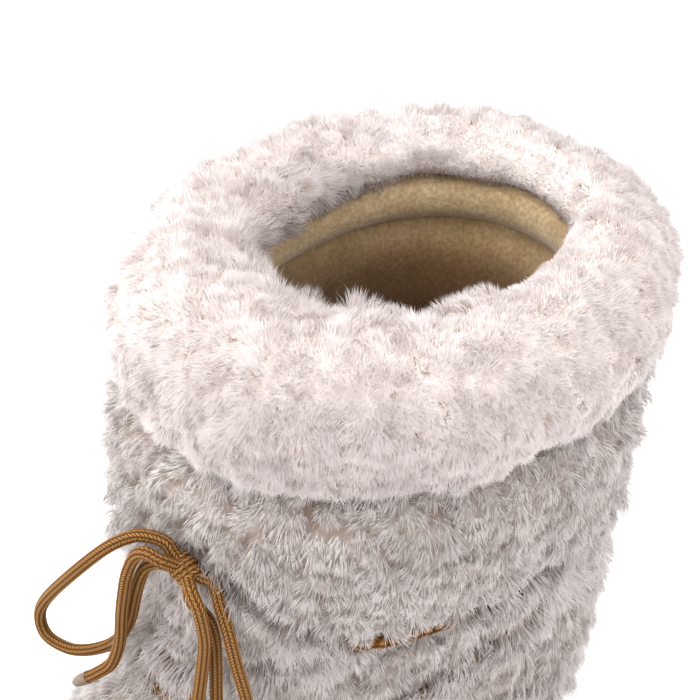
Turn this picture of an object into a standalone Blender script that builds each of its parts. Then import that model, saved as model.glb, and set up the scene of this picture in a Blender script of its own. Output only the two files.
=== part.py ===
"""A winter boot with deep fur, a rolled fur cuff and a round lace tied at the ankle.

Sizes are in millimetres until a mesh is made, which is in metres. +X is the toe, +Y the
boot's left side and +Z up. The floor is Z = 0 and the origin is under the boot's middle.
"""

import math

import bmesh
import bpy
import numpy as np

MM = 0.001
GAP = 0.3
# The middle of the boot's plan, which becomes the origin.
PLAN_MIDDLE = (-2.53, 0.94, 0.0)
FINE_STEPS = 720

# Horizontal sections of the fur's base and of the space inside, from the sole up.
# "bend" moves the toe end towards the inner side of the foot, and "square" is 2 for an
# oval and more for blunter ends.
SECTION_COLUMNS = ("z", "back", "front", "heel_half", "waist_half", "ball_half", "bend", "square")
FUR_SECTIONS = [
    (33, -117, 140, 43, 41, 53, -9, 2.9),
    (42, -123, 144, 51, 49, 60, -9, 2.8),
    (54, -127, 139, 57, 55, 63, -9, 2.7),
    (66, -129, 122, 60, 58, 62, -9, 2.6),
    (80, -130, 99, 63, 60, 59, -8, 2.5),
    (94, -131, 76, 65, 60, 55, -7, 2.4),
    (106, -132, 59, 67, 60, 53, -6, 2.4),
    (120, -132, 47, 68, 61, 52, -5, 2.3),
    (138, -132, 43, 69, 63, 53, -4, 2.3),
    (158, -132, 43, 70, 66, 58, -3, 2.3),
    (175, -133, 46, 73, 72, 68, -2, 2.3),
    (195, -135, 46, 76, 77, 76, -1, 2.2),
    (206, -137, 44, 78, 78, 78, 0, 2.2),
    (215, -137, 38, 75, 75, 75, 0, 2.2),
    (221, -136, 30, 71, 71, 71, 0, 2.2),
]
CAVITY_SECTIONS = [
    (33, -104, 126, 30, 29, 42, -8, 2.8),
    (46, -109, 131, 34, 33, 45, -8, 2.7),
    (60, -110, 113, 35, 34, 44, -8, 2.6),
    (72, -109, 93, 37, 36, 43, -7, 2.5),
    (84, -108, 71, 39, 38, 42, -6, 2.4),
    (98, -107, 50, 42, 41, 41, -5, 2.3),
    (114, -107, 34, 44, 43, 41, -3, 2.3),
    (138, -107, 24, 46, 46, 42, -2, 2.2),
    (165, -108, 18, 48, 48, 47, -1, 2.2),
    (221, -116, 8, 49, 49, 49, 0, 2.2),
]
# Where along a section, from -1 at the heel to 1 at the toe, the heel's width ends, the
# waist is narrowest and the ball's width begins. The outer side keeps part of the waist.
HEEL_END = -0.6
WAIST_AT = -0.12
BALL_AT = 0.38
OUTER_WAIST = 0.4

# The sole's top edge: high under the heel, low under the ball, rising to the toe.
BASE_Z = 33.0
HEEL_TOP = 33.0
BALL_TOP = 27.0
TOE_TOP = 31.0
HEEL_TOP_END = -50.0
BALL_TOP_START = 20.0
BALL_TOP_END = 80.0
TOE_TOP_X = 141.0
TOP_FADE_Z = 85.0

# The underside: two flat spots with an arch between them, and a toe that turns up.
ARCH_START = -48.0
ARCH_END = 4.0
ARCH_LIFT = 6.0
TOE_SPRING_START = 84.0
TOE_SPRING = 13.0
HEEL_BEVEL_START = -104.0
HEEL_BEVEL_LENGTH = 12.0
HEEL_BEVEL = 2.5
SOLE_INSET = 2.0
SOLE_COLUMNS = 56
# Each level's share of the sole's height and its inset from the edge: a groove runs round.
SOLE_LEVELS = [
    (0.00, 3.0),
    (0.16, 0.6),
    (0.46, 0.0),
    (0.50, 2.2),
    (0.58, 2.2),
    (0.62, 0.0),
    (0.94, 0.0),
    (1.00, 1.2),
]
LUG_DEPTH = 6.0
LUG_GROOVE = 8.0
GROOVE_HALF_LENGTH = 90.0
CUT_BELOW = -4.0
HEEL_GROOVES = (-98.0, -74.0)
BALL_GROOVES = (22.0, 46.0, 70.0, 96.0, 118.0)
GROOVE_SLANT = 10.0
CHANNEL_WIDTH = 8.0
CHANNEL_DEPTH = 5.0
CHANNEL_START = 12.0
CHANNEL_END = 112.0
CHANNEL_Y = -6.0

INSOLE_INSET = 1.0
INSOLE_THICK = 4.0
INSOLE_COLUMNS = 40

# The fur: locks stand in staggered rows and hang over the row below.
UPPER_COLUMNS = 56
UPPER_ROWS = 33
CAVITY_ROWS = 10
LOCK_OUT = 6.2
LOCK_DROP = 4.2
LOCK_SWAY = 2.0
LOCK_LIFT_ABOVE = 0.55
LOCK_JITTER = 0.35
LOCK_SEED = 7
RIM_Z = 221.0
RIM_BARE = 6.0
SOLE_BARE = 4.0

# The rolled cuff: how far each ring is outside the space at the rim, its height, and how
# much of the locks it carries. It starts at the seat of the lining roll and goes up and over.
CUFF_COLUMNS = 56
CUFF_PROFILE_COLUMNS = ("out", "z", "fur")
CUFF_PROFILE = [
    (9.9, 221.3, 0.0),
    (9.9, 236.0, 0.0),
    (9.9, 249.9, 0.0),
    (3.0, 251.2, 0.0),
    (-1.2, 253.4, 0.1),
    (-2.6, 257.8, 0.4),
    (-0.5, 263.8, 0.6),
    (5.8, 267.4, 0.5),
    (14.5, 268.2, 0.6),
    (22.5, 265.4, 0.7),
    (29.0, 260.0, 0.9),
    (32.8, 252.5, 1.0),
    (34.0, 244.5, 1.0),
    (33.0, 236.5, 1.0),
    (30.0, 229.0, 0.9),
    (25.5, 224.6, 0.3),
    (19.5, 221.3, 0.0),
]
CUFF_LOCK_OUT = 5.0
CUFF_LOCK_DROP = 2.6
CUFF_SEED = 11

# The padded roll of lining inside the cuff, placed the same way. A crease runs under the roll.
BAND_COLUMNS = 36
BAND_PROFILE_COLUMNS = ("out", "z")
BAND_PROFILE = [
    (2.0, 221.3),
    (1.6, 228.0),
    (2.4, 233.2),
    (-0.4, 234.8),
    (-2.8, 238.4),
    (-3.2, 243.4),
    (-1.6, 247.8),
    (2.4, 250.0),
    (6.6, 249.4),
    (9.2, 246.0),
    (9.2, 221.3),
]
# The mouth stands this far back from the shaft's space, and the profiles' inner rings with it.
MOUTH_BACK = 5.5
MOUTH_OUT = 10.0
MOUTH_LOW = 222.0
MOUTH_HIGH = 236.0

# The lace: places on the fur as a direction from the shaft's axis, 0 at the front and
# turning towards the left side, and a height.
AXIS_X = -62.0
CORD = 4.5
CORD_SEAT = 0.8
LACE_GROOVE = 3.2
LACE_GROOVE_HALF = 7.0
LACE_GROOVE_SLOPE = 5.0
ANKLE_ROUTE = [
    (-180, 151), (-110, 150), (-75, 150), (-54, 150), (-40, 150.5), (-32, 154), (-24, 162), (-16, 172),
    (-7, 180.2), (1, 184.0), (7, 185.4), (12, 182.6), (18, 176), (25, 164.5), (32, 155), (40, 150.5),
    (54, 149.5), (75, 150), (110, 150), (180, 151),
]
CROSS_ROUTE = [
    (-36, 152), (-24, 147), (-13, 139), (-4, 131.6), (2, 125.5), (11, 118.5), (23, 114), (38, 114),
    (51, 118), (62, 123), (72, 127), (84, 131), (98, 139), (114, 150),
]
BAR_ROUTE = [
    (-36, 114), (-22, 114.5), (-12, 115.6), (-5, 117.2), (0, 117.8), (5, 117.2), (12, 115.6), (22, 114.5),
    (36, 114),
]
CROSS_OVER = 3.0
CROSS_OVER_HALF = 9.0
POINT_STEP = 3.0
RING_STEP = 1.8
SPLINE_STEPS = 16
NORMAL_STEP = 2.0

# The bow: the knot lies in front of the ankle run, and each cord leaves it along its own
# direction and then follows its route.
KNOT_CENTRE = (52.0, 14.0, 191.2)
KNOT_HALF = (5.6, 5.6, 6.8)
KNOT_TURNS = 12
KNOT_RINGS = 7
KNOT_RIDGE = 0.5
EXIT_RUN = 4.0
LOOP_LEFT_EXITS = ((0.36, -0.93, -0.12), (0.16, -0.66, 0.73))
LOOP_LEFT = [
    (57.6, 0.4, 186.4), (58.1, -3.4, 177.9), (56.8, -8.5, 165.9), (54.8, -14.7, 152.3),
    (54.4, -21.2, 140.0), (56.3, -26.9, 132.2), (59.9, -35.1, 126.2), (62.6, -43.6, 122.9),
    (64.8, -52.9, 123.9), (64.8, -56.1, 130.9), (66.0, -48.7, 144.7), (69.6, -25.1, 173.6),
    (65.0, -9.9, 192.4), (59.6, -2.6, 198.8), (56.4, 2.6, 200.2),
]
LOOP_RIGHT_EXITS = ((0.45, 0.88, -0.12), (0.13, 0.36, -0.93))
LOOP_RIGHT = [
    (57.4, 27.2, 186.0), (56.8, 28.0, 179.0), (55.6, 26.9, 170.4), (54.7, 24.1, 158.6),
    (55.3, 21.7, 143.3), (58.7, 23.5, 133.7), (59.7, 28.6, 128.1), (53.7, 28.1, 129.2),
    (49.6, 23.6, 141.8), (49.2, 23.8, 156.8), (49.4, 23.9, 166.1), (50.0, 22.6, 173.3),
    (52.0, 20.2, 178.2),
]
END_LEFT_EXIT = (0.72, -0.30, 0.62)
END_LEFT = [
    (61.4, 6.6, 198.8), (62.2, 2.0, 195.0), (63.4, -1.4, 186.6), (63.5, -4.4, 175.8),
    (61.8, -9.2, 162.6), (60.5, -12.7, 150.7), (59.8, -16.3, 140.2), (60.8, -20.1, 130.9),
    (63.5, -24.6, 125.3), (65.1, -29.4, 120.5),
]
END_RIGHT_EXIT = (-0.36, 0.91, -0.20)
END_RIGHT = [
    (49.6, 27.8, 184.0), (50.3, 32.3, 176.2), (49.2, 34.4, 162.5), (47.5, 36.6, 147.7),
    (47.7, 38.5, 138.2), (49.1, 40.6, 130.2),
]
TIP_LENGTH = 8.0
TIP_END = 2.6
BOW_STEP = 2.2

COLOURS = {
    "fur": ((0.80, 0.72, 0.69, 1.0), 0.95),
    "lining": ((0.58, 0.45, 0.27, 1.0), 0.9),
    "rubber": ((0.62, 0.54, 0.44, 1.0), 0.6),
    "lace": ((0.43, 0.22, 0.07, 1.0), 0.8),
    "aglet": ((0.45, 0.38, 0.30, 1.0), 0.4),
}


def smooth(t):
    """A soft step from 0 to 1."""
    t = np.clip(t, 0.0, 1.0)
    return t * t * (3.0 - 2.0 * t)


def signed_power(values, power):
    return np.sign(values) * np.abs(values) ** power


def read_row(table, z):
    """The table's columns at height z, on a smooth curve through its rows."""
    rows = np.array(table, float)
    heights = rows[:, 0]
    slopes = np.gradient(rows, heights, axis=0)
    below = int(np.clip(np.searchsorted(heights, z) - 1, 0, len(heights) - 2))
    span = heights[below + 1] - heights[below]
    t = (z - heights[below]) / span
    start = (1 + 2 * t) * (1 - t) ** 2 * rows[below]
    start_slope = t * (1 - t) ** 2 * span * slopes[below]
    end = t * t * (3 - 2 * t) * rows[below + 1]
    end_slope = t * t * (t - 1) * span * slopes[below + 1]
    return dict(zip(SECTION_COLUMNS, start + start_slope + end + end_slope))


def half_widths(row, along):
    """Half widths on the inner and on the outer side of the foot."""
    waist, ball, heel = row["waist_half"], row["ball_half"], row["heel_half"]
    inner = heel + (waist - heel) * smooth((along - HEEL_END) / (WAIST_AT - HEEL_END))
    inner = inner + (ball - waist) * smooth((along - WAIST_AT) / (BALL_AT - WAIST_AT))
    straight = heel + (ball - heel) * smooth(0.5 + 0.5 * along)
    return inner, straight + (inner - straight) * OUTER_WAIST


def outline(table, z):
    """A fine closed outline of the section at height z, from the toe round the left side."""
    row = read_row(table, z)
    turn = np.linspace(0.0, 2.0 * math.pi, FINE_STEPS, endpoint=False)
    along = signed_power(np.cos(turn), 2.0 / row["square"])
    across = signed_power(np.sin(turn), 2.0 / row["square"])
    middle = (row["front"] + row["back"]) / 2.0
    reach = (row["front"] - row["back"]) / 2.0
    inner, outer = half_widths(row, along)
    x = middle + reach * along
    y = np.where(across > 0.0, outer, inner) * across + row["bend"] * np.maximum(along, 0.0) ** 2
    return np.stack([x, y], axis=-1)


def even_loop(loop, count):
    """The closed loop again, as count points evenly spaced along it."""
    closed = np.concatenate([loop, loop[:1]])
    steps = np.linalg.norm(np.diff(closed, axis=0), axis=1)
    length = np.concatenate([[0.0], np.cumsum(steps)])
    wanted = np.linspace(0.0, length[-1], count, endpoint=False)
    return np.stack([np.interp(wanted, length, closed[:, k]) for k in range(2)], axis=-1)


def inset_loop(loop, inset):
    """The loop moved inwards along its own normals."""
    tangent = np.roll(loop, -1, axis=0) - np.roll(loop, 1, axis=0)
    tangent /= np.linalg.norm(tangent, axis=1)[:, None]
    outward = np.stack([tangent[:, 1], -tangent[:, 0]], axis=-1)
    return loop - outward * inset


def sole_top(x):
    """Height of the sole's upper edge along the boot."""
    to_ball = smooth((x - HEEL_TOP_END) / (BALL_TOP_START - HEEL_TOP_END))
    to_toe = smooth((x - BALL_TOP_END) / (TOE_TOP_X - BALL_TOP_END))
    return HEEL_TOP + (BALL_TOP - HEEL_TOP) * to_ball + (TOE_TOP - BALL_TOP) * to_toe


def sole_bottom(x):
    """Height of the sole's underside along the boot: 0 on the two flat spots."""
    arch = np.clip((x - ARCH_START) / (ARCH_END - ARCH_START), 0.0, 1.0)
    toe = np.clip((x - TOE_SPRING_START) / (TOE_TOP_X - TOE_SPRING_START), 0.0, 1.0)
    heel = np.clip((HEEL_BEVEL_START - x) / HEEL_BEVEL_LENGTH, 0.0, None)
    return ARCH_LIFT * np.sin(math.pi * arch) ** 2 + TOE_SPRING * toe**2 + HEEL_BEVEL * heel


def section_ring(table, z, count):
    """A ring of points at height z that sinks to the sole's edge near the sole."""
    loop = even_loop(outline(table, z), count)
    near_sole = 1.0 - smooth((z - BASE_Z) / (TOP_FADE_Z - BASE_Z))
    height = z + (sole_top(loop[:, 0]) - BASE_Z) * near_sole
    return np.concatenate([loop, height[:, None]], axis=1)


def in_metres(points):
    """The points about the origin, in metres."""
    return (np.asarray(points, float) - np.array(PLAN_MIDDLE)) * MM


def mesh_object(name, points, faces, material):
    """A smooth-shaded object from points in millimetres."""
    mesh = bpy.data.meshes.new(name)
    mesh.from_pydata([tuple(p) for p in in_metres(points)], [], faces)
    mesh.validate()
    shape = bmesh.new()
    shape.from_mesh(mesh)
    bmesh.ops.recalc_face_normals(shape, faces=shape.faces)
    shape.to_mesh(mesh)
    shape.free()
    mesh.materials.append(material)
    mesh.shade_smooth()
    obj = bpy.data.objects.new(name, mesh)
    bpy.context.scene.collection.objects.link(obj)
    return obj


def ring_faces(rows, columns):
    """Quads of a grid that closes on itself both ways."""
    faces = []
    for row in range(rows):
        below = row * columns
        above = ((row + 1) % rows) * columns
        for column in range(columns):
            beside = (column + 1) % columns
            faces.append((below + column, below + beside, above + beside, above + column))
    return faces


def strip_faces(start, columns):
    """Faces across a loop of points from one side to the other, toe to heel."""
    faces = [(start, start + 1, start + columns - 1)]
    for step in range(1, columns // 2 - 1):
        left, right = start + step, start + columns - step
        faces.append((left, left + 1, right - 1, right))
    last = start + columns // 2
    faces.append((last - 1, last, last + 1))
    return faces


def grid_frame(grid):
    """Outward normals and directions towards the row below, for rows that run upwards."""
    along = np.roll(grid, -1, axis=1) - np.roll(grid, 1, axis=1)
    up = np.gradient(grid, axis=0)
    normal = np.cross(along, up)
    normal /= np.linalg.norm(normal, axis=-1)[..., None]
    down = -up / np.linalg.norm(up, axis=-1)[..., None]
    side = along / np.linalg.norm(along, axis=-1)[..., None]
    return normal, down, side


def lock_shares(rows, columns, seed):
    """How far each grid point stands out (0 to about 1), how far it hangs, and its sway.

    Tips stand in every second row and column, staggered, and the point above a tip
    follows it part of the way out, so each lock is a wedge over the row below.
    """
    random = np.random.default_rng(seed)
    size = 1.0 + LOCK_JITTER * random.uniform(-1.0, 1.0, (rows, columns))
    lean = random.uniform(-1.0, 1.0, (rows, columns))
    out = np.zeros((rows, columns))
    hang = np.zeros((rows, columns))
    sway = np.zeros((rows, columns))
    for row in range(1, rows, 2):
        for column in range((row // 2) % 2, columns, 2):
            out[row, column] = size[row, column]
            hang[row, column] = 1.0
            sway[row, column] = lean[row, column]
            if row + 1 < rows:
                out[row + 1, column] = LOCK_LIFT_ABOVE * size[row, column]
    return out, hang, sway


def add_locks(grid, cover, sizes, seed):
    """The grid with locks of fur standing out of it where cover is 1."""
    lock_out, lock_drop = sizes
    normal, down, side = grid_frame(grid)
    out, hang, sway = lock_shares(grid.shape[0], grid.shape[1], seed)
    moved = normal * (out * cover * lock_out)[..., None]
    moved += down * (hang * cover * lock_drop)[..., None]
    moved += side * (sway * cover * LOCK_SWAY)[..., None]
    return grid + moved


def skin_place(direction, z):
    """The fur base's point at a direction from the shaft's axis, in degrees, and a height."""
    loop = outline(FUR_SECTIONS, z)
    turn = np.unwrap(np.arctan2(loop[:, 1], loop[:, 0] - AXIS_X))
    wanted = math.radians(direction)
    wanted = turn[0] + (wanted - turn[0]) % (2.0 * math.pi)
    turn = np.concatenate([turn, [turn[0] + 2.0 * math.pi]])
    closed = np.concatenate([loop, loop[:1]])
    return np.array([np.interp(wanted, turn, closed[:, 0]), np.interp(wanted, turn, closed[:, 1]), z])


def skin_normal(direction, z):
    """The outward normal of the fur's base there."""
    around = skin_place(direction + NORMAL_STEP, z) - skin_place(direction - NORMAL_STEP, z)
    up = skin_place(direction, z + NORMAL_STEP) - skin_place(direction, z - NORMAL_STEP)
    normal = np.cross(around, up)
    return normal / np.linalg.norm(normal)


def spline(points):
    """A fine smooth curve through the given points."""
    points = np.array(points, float)
    before = 2 * points[:1] - points[1:2]
    after = 2 * points[-1:] - points[-2:-1]
    around = np.concatenate([before, points, after])
    fine = []
    for a, b, c, d in zip(around[:-3], around[1:-2], around[2:-1], around[3:]):
        bend = 2 * a - 5 * b + 4 * c - d
        twist = 3 * b - a - 3 * c + d
        for t in np.linspace(0.0, 1.0, SPLINE_STEPS, endpoint=False):
            fine.append(0.5 * (2 * b + (c - a) * t + bend * t * t + twist * t**3))
    fine.append(points[-1])
    return np.array(fine)


def even_path(fine, step):
    """The fine path again, as points about a step apart."""
    fine = np.asarray(fine, float)
    length = np.concatenate([[0.0], np.cumsum(np.linalg.norm(np.diff(fine, axis=0), axis=1))])
    pieces = max(3, round(length[-1] / step))
    wanted = np.linspace(0.0, length[-1], pieces + 1)
    return np.stack([np.interp(wanted, length, fine[:, k]) for k in range(3)], axis=-1)


def path_on_fur(route, lift=None, step=POINT_STEP):
    """Points of a lace's run, seated on the fur along its route, with an extra lift."""
    points = []
    for direction, z in spline(route):
        extra = lift(direction) if lift else 0.0
        height = CORD / 2.0 + CORD_SEAT - LACE_GROOVE + extra
        points.append(skin_place(direction, z) + skin_normal(direction, z) * height)
    return even_path(points, step * CORD)


def cross_lift(direction):
    """Raises one cross strand over the other at the front."""
    return CROSS_OVER * math.exp(-((direction / CROSS_OVER_HALF) ** 2))


def mirrored(route):
    return [(-direction, z) for direction, z in route]


def lace_paths():
    """The lace's runs round the ankle and over the instep."""
    return {
        "ring": path_on_fur(ANKLE_ROUTE, step=RING_STEP),
        "left": path_on_fur(CROSS_ROUTE, cross_lift),
        "right": path_on_fur(mirrored(CROSS_ROUTE)),
        "bar": path_on_fur(BAR_ROUTE),
    }


def pressed_places(paths):
    """Fine points along the lace and at the knot, where the fur is pressed flat."""
    fine = []
    for path in paths.values():
        for a, b in zip(path[:-1], path[1:]):
            fine += [a + (b - a) * t for t in (0.0, 0.25, 0.5, 0.75)]
    behind_knot = np.array(KNOT_CENTRE) - np.array([KNOT_HALF[0], 0.0, 0.0])
    fine += [behind_knot + np.array([0.0, 0.0, KNOT_HALF[2] * side]) for side in (-1, 0, 1)]
    return np.array(fine)


def distance_to_lace(points, paths):
    """How far each point is from the lace or the knot."""
    pressed = pressed_places(paths)
    flat = points.reshape(-1, 3)
    gaps = np.linalg.norm(flat[:, None, :] - pressed[None, :, :], axis=-1).min(axis=1)
    return gaps.reshape(points.shape[:-1])


def make_upper(material, paths):
    """The hollow fur upper, open at the collar and underneath."""
    heights = np.linspace(BASE_Z + GAP, RIM_Z, UPPER_ROWS)
    fur = np.array([section_ring(FUR_SECTIONS, z, UPPER_COLUMNS) for z in heights])
    apart = distance_to_lace(fur, paths)
    beside_lace = smooth((apart - LACE_GROOVE_HALF) / LACE_GROOVE_SLOPE)
    normal = grid_frame(fur)[0]
    fur = fur - normal * (LACE_GROOVE * (1.0 - beside_lace))[..., None]
    cover = beside_lace * smooth((RIM_Z - RIM_BARE - heights) / RIM_BARE)[:, None]
    cover = cover * smooth((heights - BASE_Z) / SOLE_BARE)[:, None]
    fur = add_locks(fur, cover, (LOCK_OUT, LOCK_DROP), LOCK_SEED)
    heights = np.linspace(RIM_Z, BASE_Z + GAP, CAVITY_ROWS)
    cavity = np.array([section_ring(CAVITY_SECTIONS, z, UPPER_COLUMNS) for z in heights])
    grid = np.concatenate([fur, cavity])
    return mesh_object("upper", grid.reshape(-1, 3), ring_faces(len(grid), UPPER_COLUMNS), material)


def column(table, names, wanted):
    return np.array([row[names.index(wanted)] for row in table])


def mouth_shift(out, z):
    """How far back a profile's ring moves so that the mouth stands back from the shaft."""
    inner = smooth((MOUTH_OUT - out) / MOUTH_OUT)
    return MOUTH_BACK * inner * smooth((z - MOUTH_LOW) / (MOUTH_HIGH - MOUTH_LOW))


def rim_rings(table, names, count):
    """Rings round the space at the rim, one for each row of a profile."""
    space = even_loop(outline(CAVITY_SECTIONS, RIM_Z), count)
    rings = []
    for out, z in zip(column(table, names, "out"), column(table, names, "z")):
        ring = np.column_stack([inset_loop(space, -out), np.full(count, z)])
        rings.append(ring - np.array([mouth_shift(out, z), 0.0, 0.0]))
    return np.array(rings)


def make_cuff(material):
    """The rolled fur cuff, seated on the upper's rim and standing out over the shaft."""
    rings = rim_rings(CUFF_PROFILE, CUFF_PROFILE_COLUMNS, CUFF_COLUMNS)[::-1]
    fur = column(CUFF_PROFILE, CUFF_PROFILE_COLUMNS, "fur")[::-1]
    cover = np.repeat(fur[:, None], CUFF_COLUMNS, axis=1)
    rings = add_locks(rings, cover, (CUFF_LOCK_OUT, CUFF_LOCK_DROP), CUFF_SEED)
    return mesh_object("fur_cuff", rings.reshape(-1, 3), ring_faces(len(rings), CUFF_COLUMNS), material)


def make_band(material):
    """The padded roll of lining inside the cuff."""
    rings = rim_rings(BAND_PROFILE, BAND_PROFILE_COLUMNS, BAND_COLUMNS)
    return mesh_object("lining_band", rings.reshape(-1, 3), ring_faces(len(rings), BAND_COLUMNS), material)


def make_insole(material):
    """A plain insole on the sole, inside the upper."""
    loop = inset_loop(even_loop(outline(CAVITY_SECTIONS, BASE_Z), INSOLE_COLUMNS), INSOLE_INSET)
    low = sole_top(loop[:, 0]) + GAP
    points = [np.column_stack([loop, low]), np.column_stack([loop, low + INSOLE_THICK])]
    faces = strip_faces(0, INSOLE_COLUMNS) + strip_faces(INSOLE_COLUMNS, INSOLE_COLUMNS)
    faces += ring_faces(2, INSOLE_COLUMNS)[:INSOLE_COLUMNS]
    return mesh_object("insole", np.concatenate(points), faces, material)


def box_points(x, width, top, slant, y_half=GROOVE_HALF_LENGTH):
    """Corners of a bar across the sole whose two ends are shifted along by the slant."""
    corners = []
    for z in (CUT_BELOW, top):
        corners.append((x - width / 2 - slant, -y_half, z))
        corners.append((x + width / 2 - slant, -y_half, z))
        corners.append((x + width / 2 + slant, y_half, z))
        corners.append((x - width / 2 + slant, y_half, z))
    return corners


def box_faces(start):
    low = [start + k for k in range(4)]
    high = [start + 4 + k for k in range(4)]
    sides = [(low[k], low[(k + 1) % 4], high[(k + 1) % 4], high[k]) for k in range(4)]
    return [tuple(low), tuple(high)] + sides


def cutter(name, boxes, material):
    """A hidden cutter made of separate bars."""
    points = []
    faces = []
    for corners in boxes:
        faces += box_faces(len(points))
        points += corners
    obj = mesh_object(name, points, faces, material)
    obj.hide_render = True
    obj.display_type = "WIRE"
    return obj


def cut(obj, tool):
    modifier = obj.modifiers.new(tool.name, "BOOLEAN")
    modifier.operation = "DIFFERENCE"
    modifier.object = tool


def make_sole(material):
    """The moulded sole: stepped sides, arch, toe spring and lugs cut by grooves."""
    edge = inset_loop(even_loop(outline(FUR_SECTIONS, BASE_Z), SOLE_COLUMNS), SOLE_INSET)
    rings = []
    for share, inset in SOLE_LEVELS:
        loop = inset_loop(edge, inset)
        low, high = sole_bottom(loop[:, 0]), sole_top(loop[:, 0])
        rings.append(np.column_stack([loop, low + (high - low) * share]))
    count = len(SOLE_LEVELS) * SOLE_COLUMNS
    faces = ring_faces(len(SOLE_LEVELS), SOLE_COLUMNS)[: count - SOLE_COLUMNS]
    faces += strip_faces(0, SOLE_COLUMNS) + strip_faces(count - SOLE_COLUMNS, SOLE_COLUMNS)
    sole = mesh_object("outsole", np.concatenate(rings), faces, material)
    bars = [box_points(x, LUG_GROOVE, LUG_DEPTH, -GROOVE_SLANT / 2) for x in HEEL_GROOVES]
    for x in BALL_GROOVES:
        floor = float(sole_bottom(np.array(x)))
        bars.append(box_points(x, LUG_GROOVE, floor + LUG_DEPTH, GROOVE_SLANT))
    cut(sole, cutter("groove_cutter", bars, material))
    middle = (CHANNEL_START + CHANNEL_END) / 2.0
    length = CHANNEL_END - CHANNEL_START
    channel = box_points(middle, length, CHANNEL_DEPTH, 0.0, CHANNEL_WIDTH / 2)
    channel = [(x, y + CHANNEL_Y, z) for x, y, z in channel]
    cut(sole, cutter("channel_cutter", [channel], material))
    return sole


def tube(name, path, diameter, material, closed=False):
    """A round cord as a curve with filled ends."""
    curve = bpy.data.curves.new(name, "CURVE")
    curve.dimensions = "3D"
    curve.bevel_depth = diameter / 2.0 * MM
    curve.bevel_resolution = 2
    curve.use_fill_caps = True
    spline = curve.splines.new("POLY")
    spline.points.add(len(path) - 1)
    for point, place in zip(spline.points, in_metres(path)):
        point.co = (*place, 1.0)
    spline.use_cyclic_u = closed
    curve.materials.append(material)
    obj = bpy.data.objects.new(name, curve)
    bpy.context.scene.collection.objects.link(obj)
    return obj


def as_mesh(obj):
    """The curve object's tube as a mesh object with the same name."""
    bpy.context.view_layer.update()
    graph = bpy.context.evaluated_depsgraph_get()
    mesh = bpy.data.meshes.new_from_object(obj.evaluated_get(graph))
    name = obj.name
    bpy.data.objects.remove(obj)
    made = bpy.data.objects.new(name, mesh)
    bpy.context.scene.collection.objects.link(made)
    return made


def make_lace_wrap(material, paths):
    """The lace round the ankle and over the instep, joined where its runs meet."""
    wrap = as_mesh(tube("lace_wrap", paths["ring"][:-1], CORD, material, closed=True))
    for name in ("left", "right", "bar"):
        run = as_mesh(tube("lace_" + name, paths[name], CORD, material))
        run.hide_render = True
        run.display_type = "WIRE"
        modifier = wrap.modifiers.new(name, "BOOLEAN")
        modifier.operation = "UNION"
        modifier.object = run
    return wrap


def knot_reach(direction):
    """How far the knot's surface is from its centre along a unit direction."""
    share = np.asarray(direction) / np.array(KNOT_HALF)
    return 1.0 / np.linalg.norm(share)


def knot_exit(direction):
    """The two points where a cord leaves the knot, nearest first."""
    direction = np.asarray(direction) / np.linalg.norm(direction)
    reach = knot_reach(direction) + KNOT_RIDGE + GAP
    centre = np.array(KNOT_CENTRE)
    return [centre + direction * reach, centre + direction * (reach + EXIT_RUN)]


def make_knot(material):
    """The knot as a rounded lump with the turns of the cord round it."""
    centre = np.array(KNOT_CENTRE)
    points = [centre - np.array([0.0, 0.0, KNOT_HALF[2]])]
    for ring in range(1, KNOT_RINGS):
        tilt = math.pi * ring / KNOT_RINGS - math.pi / 2.0
        ridge = KNOT_RIDGE * (ring % 2)
        for turn in np.linspace(0.0, 2.0 * math.pi, KNOT_TURNS, endpoint=False):
            flat = math.cos(tilt)
            unit = np.array([flat * math.cos(turn), flat * math.sin(turn), math.sin(tilt)])
            points.append(centre + unit * (np.array(KNOT_HALF) + ridge))
    points.append(centre + np.array([0.0, 0.0, KNOT_HALF[2]]))
    last = len(points) - 1
    faces = []
    for turn in range(KNOT_TURNS):
        beside = (turn + 1) % KNOT_TURNS
        faces.append((0, 1 + beside, 1 + turn))
        top = last - KNOT_TURNS
        faces.append((last, top + turn, top + beside))
        for ring in range(KNOT_RINGS - 2):
            low = 1 + ring * KNOT_TURNS
            high = low + KNOT_TURNS
            faces.append((low + turn, low + beside, high + beside, high + turn))
    return mesh_object("lace_knot", points, faces, material)


def loop_path(route, exits):
    """A loop's points, straight out of the knot at both ends."""
    leaving, coming = knot_exit(exits[0]), knot_exit(exits[1])
    middle = even_path(spline([leaving[1]] + route + [coming[1]]), BOW_STEP * CORD)
    return np.concatenate([leaving[:1], middle, coming[:1]])


def end_path(route, exit_direction):
    """A free end's points, straight out of the knot."""
    leaving = knot_exit(exit_direction)
    return np.concatenate([leaving[:1], even_path(spline([leaving[1]] + route), BOW_STEP * CORD)])


def make_tip(name, path, material):
    """A tapered tip that closes the end of a lace."""
    end = path[-1]
    heading = (path[-1] - path[-2]) / np.linalg.norm(path[-1] - path[-2])
    start = end + heading * GAP
    places = [start + heading * TIP_LENGTH * share for share in (0.0, 0.5, 1.0)]
    tip = tube(name, places, CORD, material)
    for point, share in zip(tip.data.splines[0].points, (1.0, 0.9, TIP_END / CORD)):
        point.radius = share
    return tip


def make_bow(material, tip_material):
    """The knot with its two loops and two ends."""
    make_knot(material)
    tube("lace_loop_left", loop_path(LOOP_LEFT, LOOP_LEFT_EXITS), CORD, material)
    tube("lace_loop_right", loop_path(LOOP_RIGHT, LOOP_RIGHT_EXITS), CORD, material)
    for side, route, way in (("left", END_LEFT, END_LEFT_EXIT), ("right", END_RIGHT, END_RIGHT_EXIT)):
        path = end_path(route, way)
        tube("lace_end_" + side, path, CORD, material)
        make_tip("lace_tip_" + side, path, tip_material)


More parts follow.
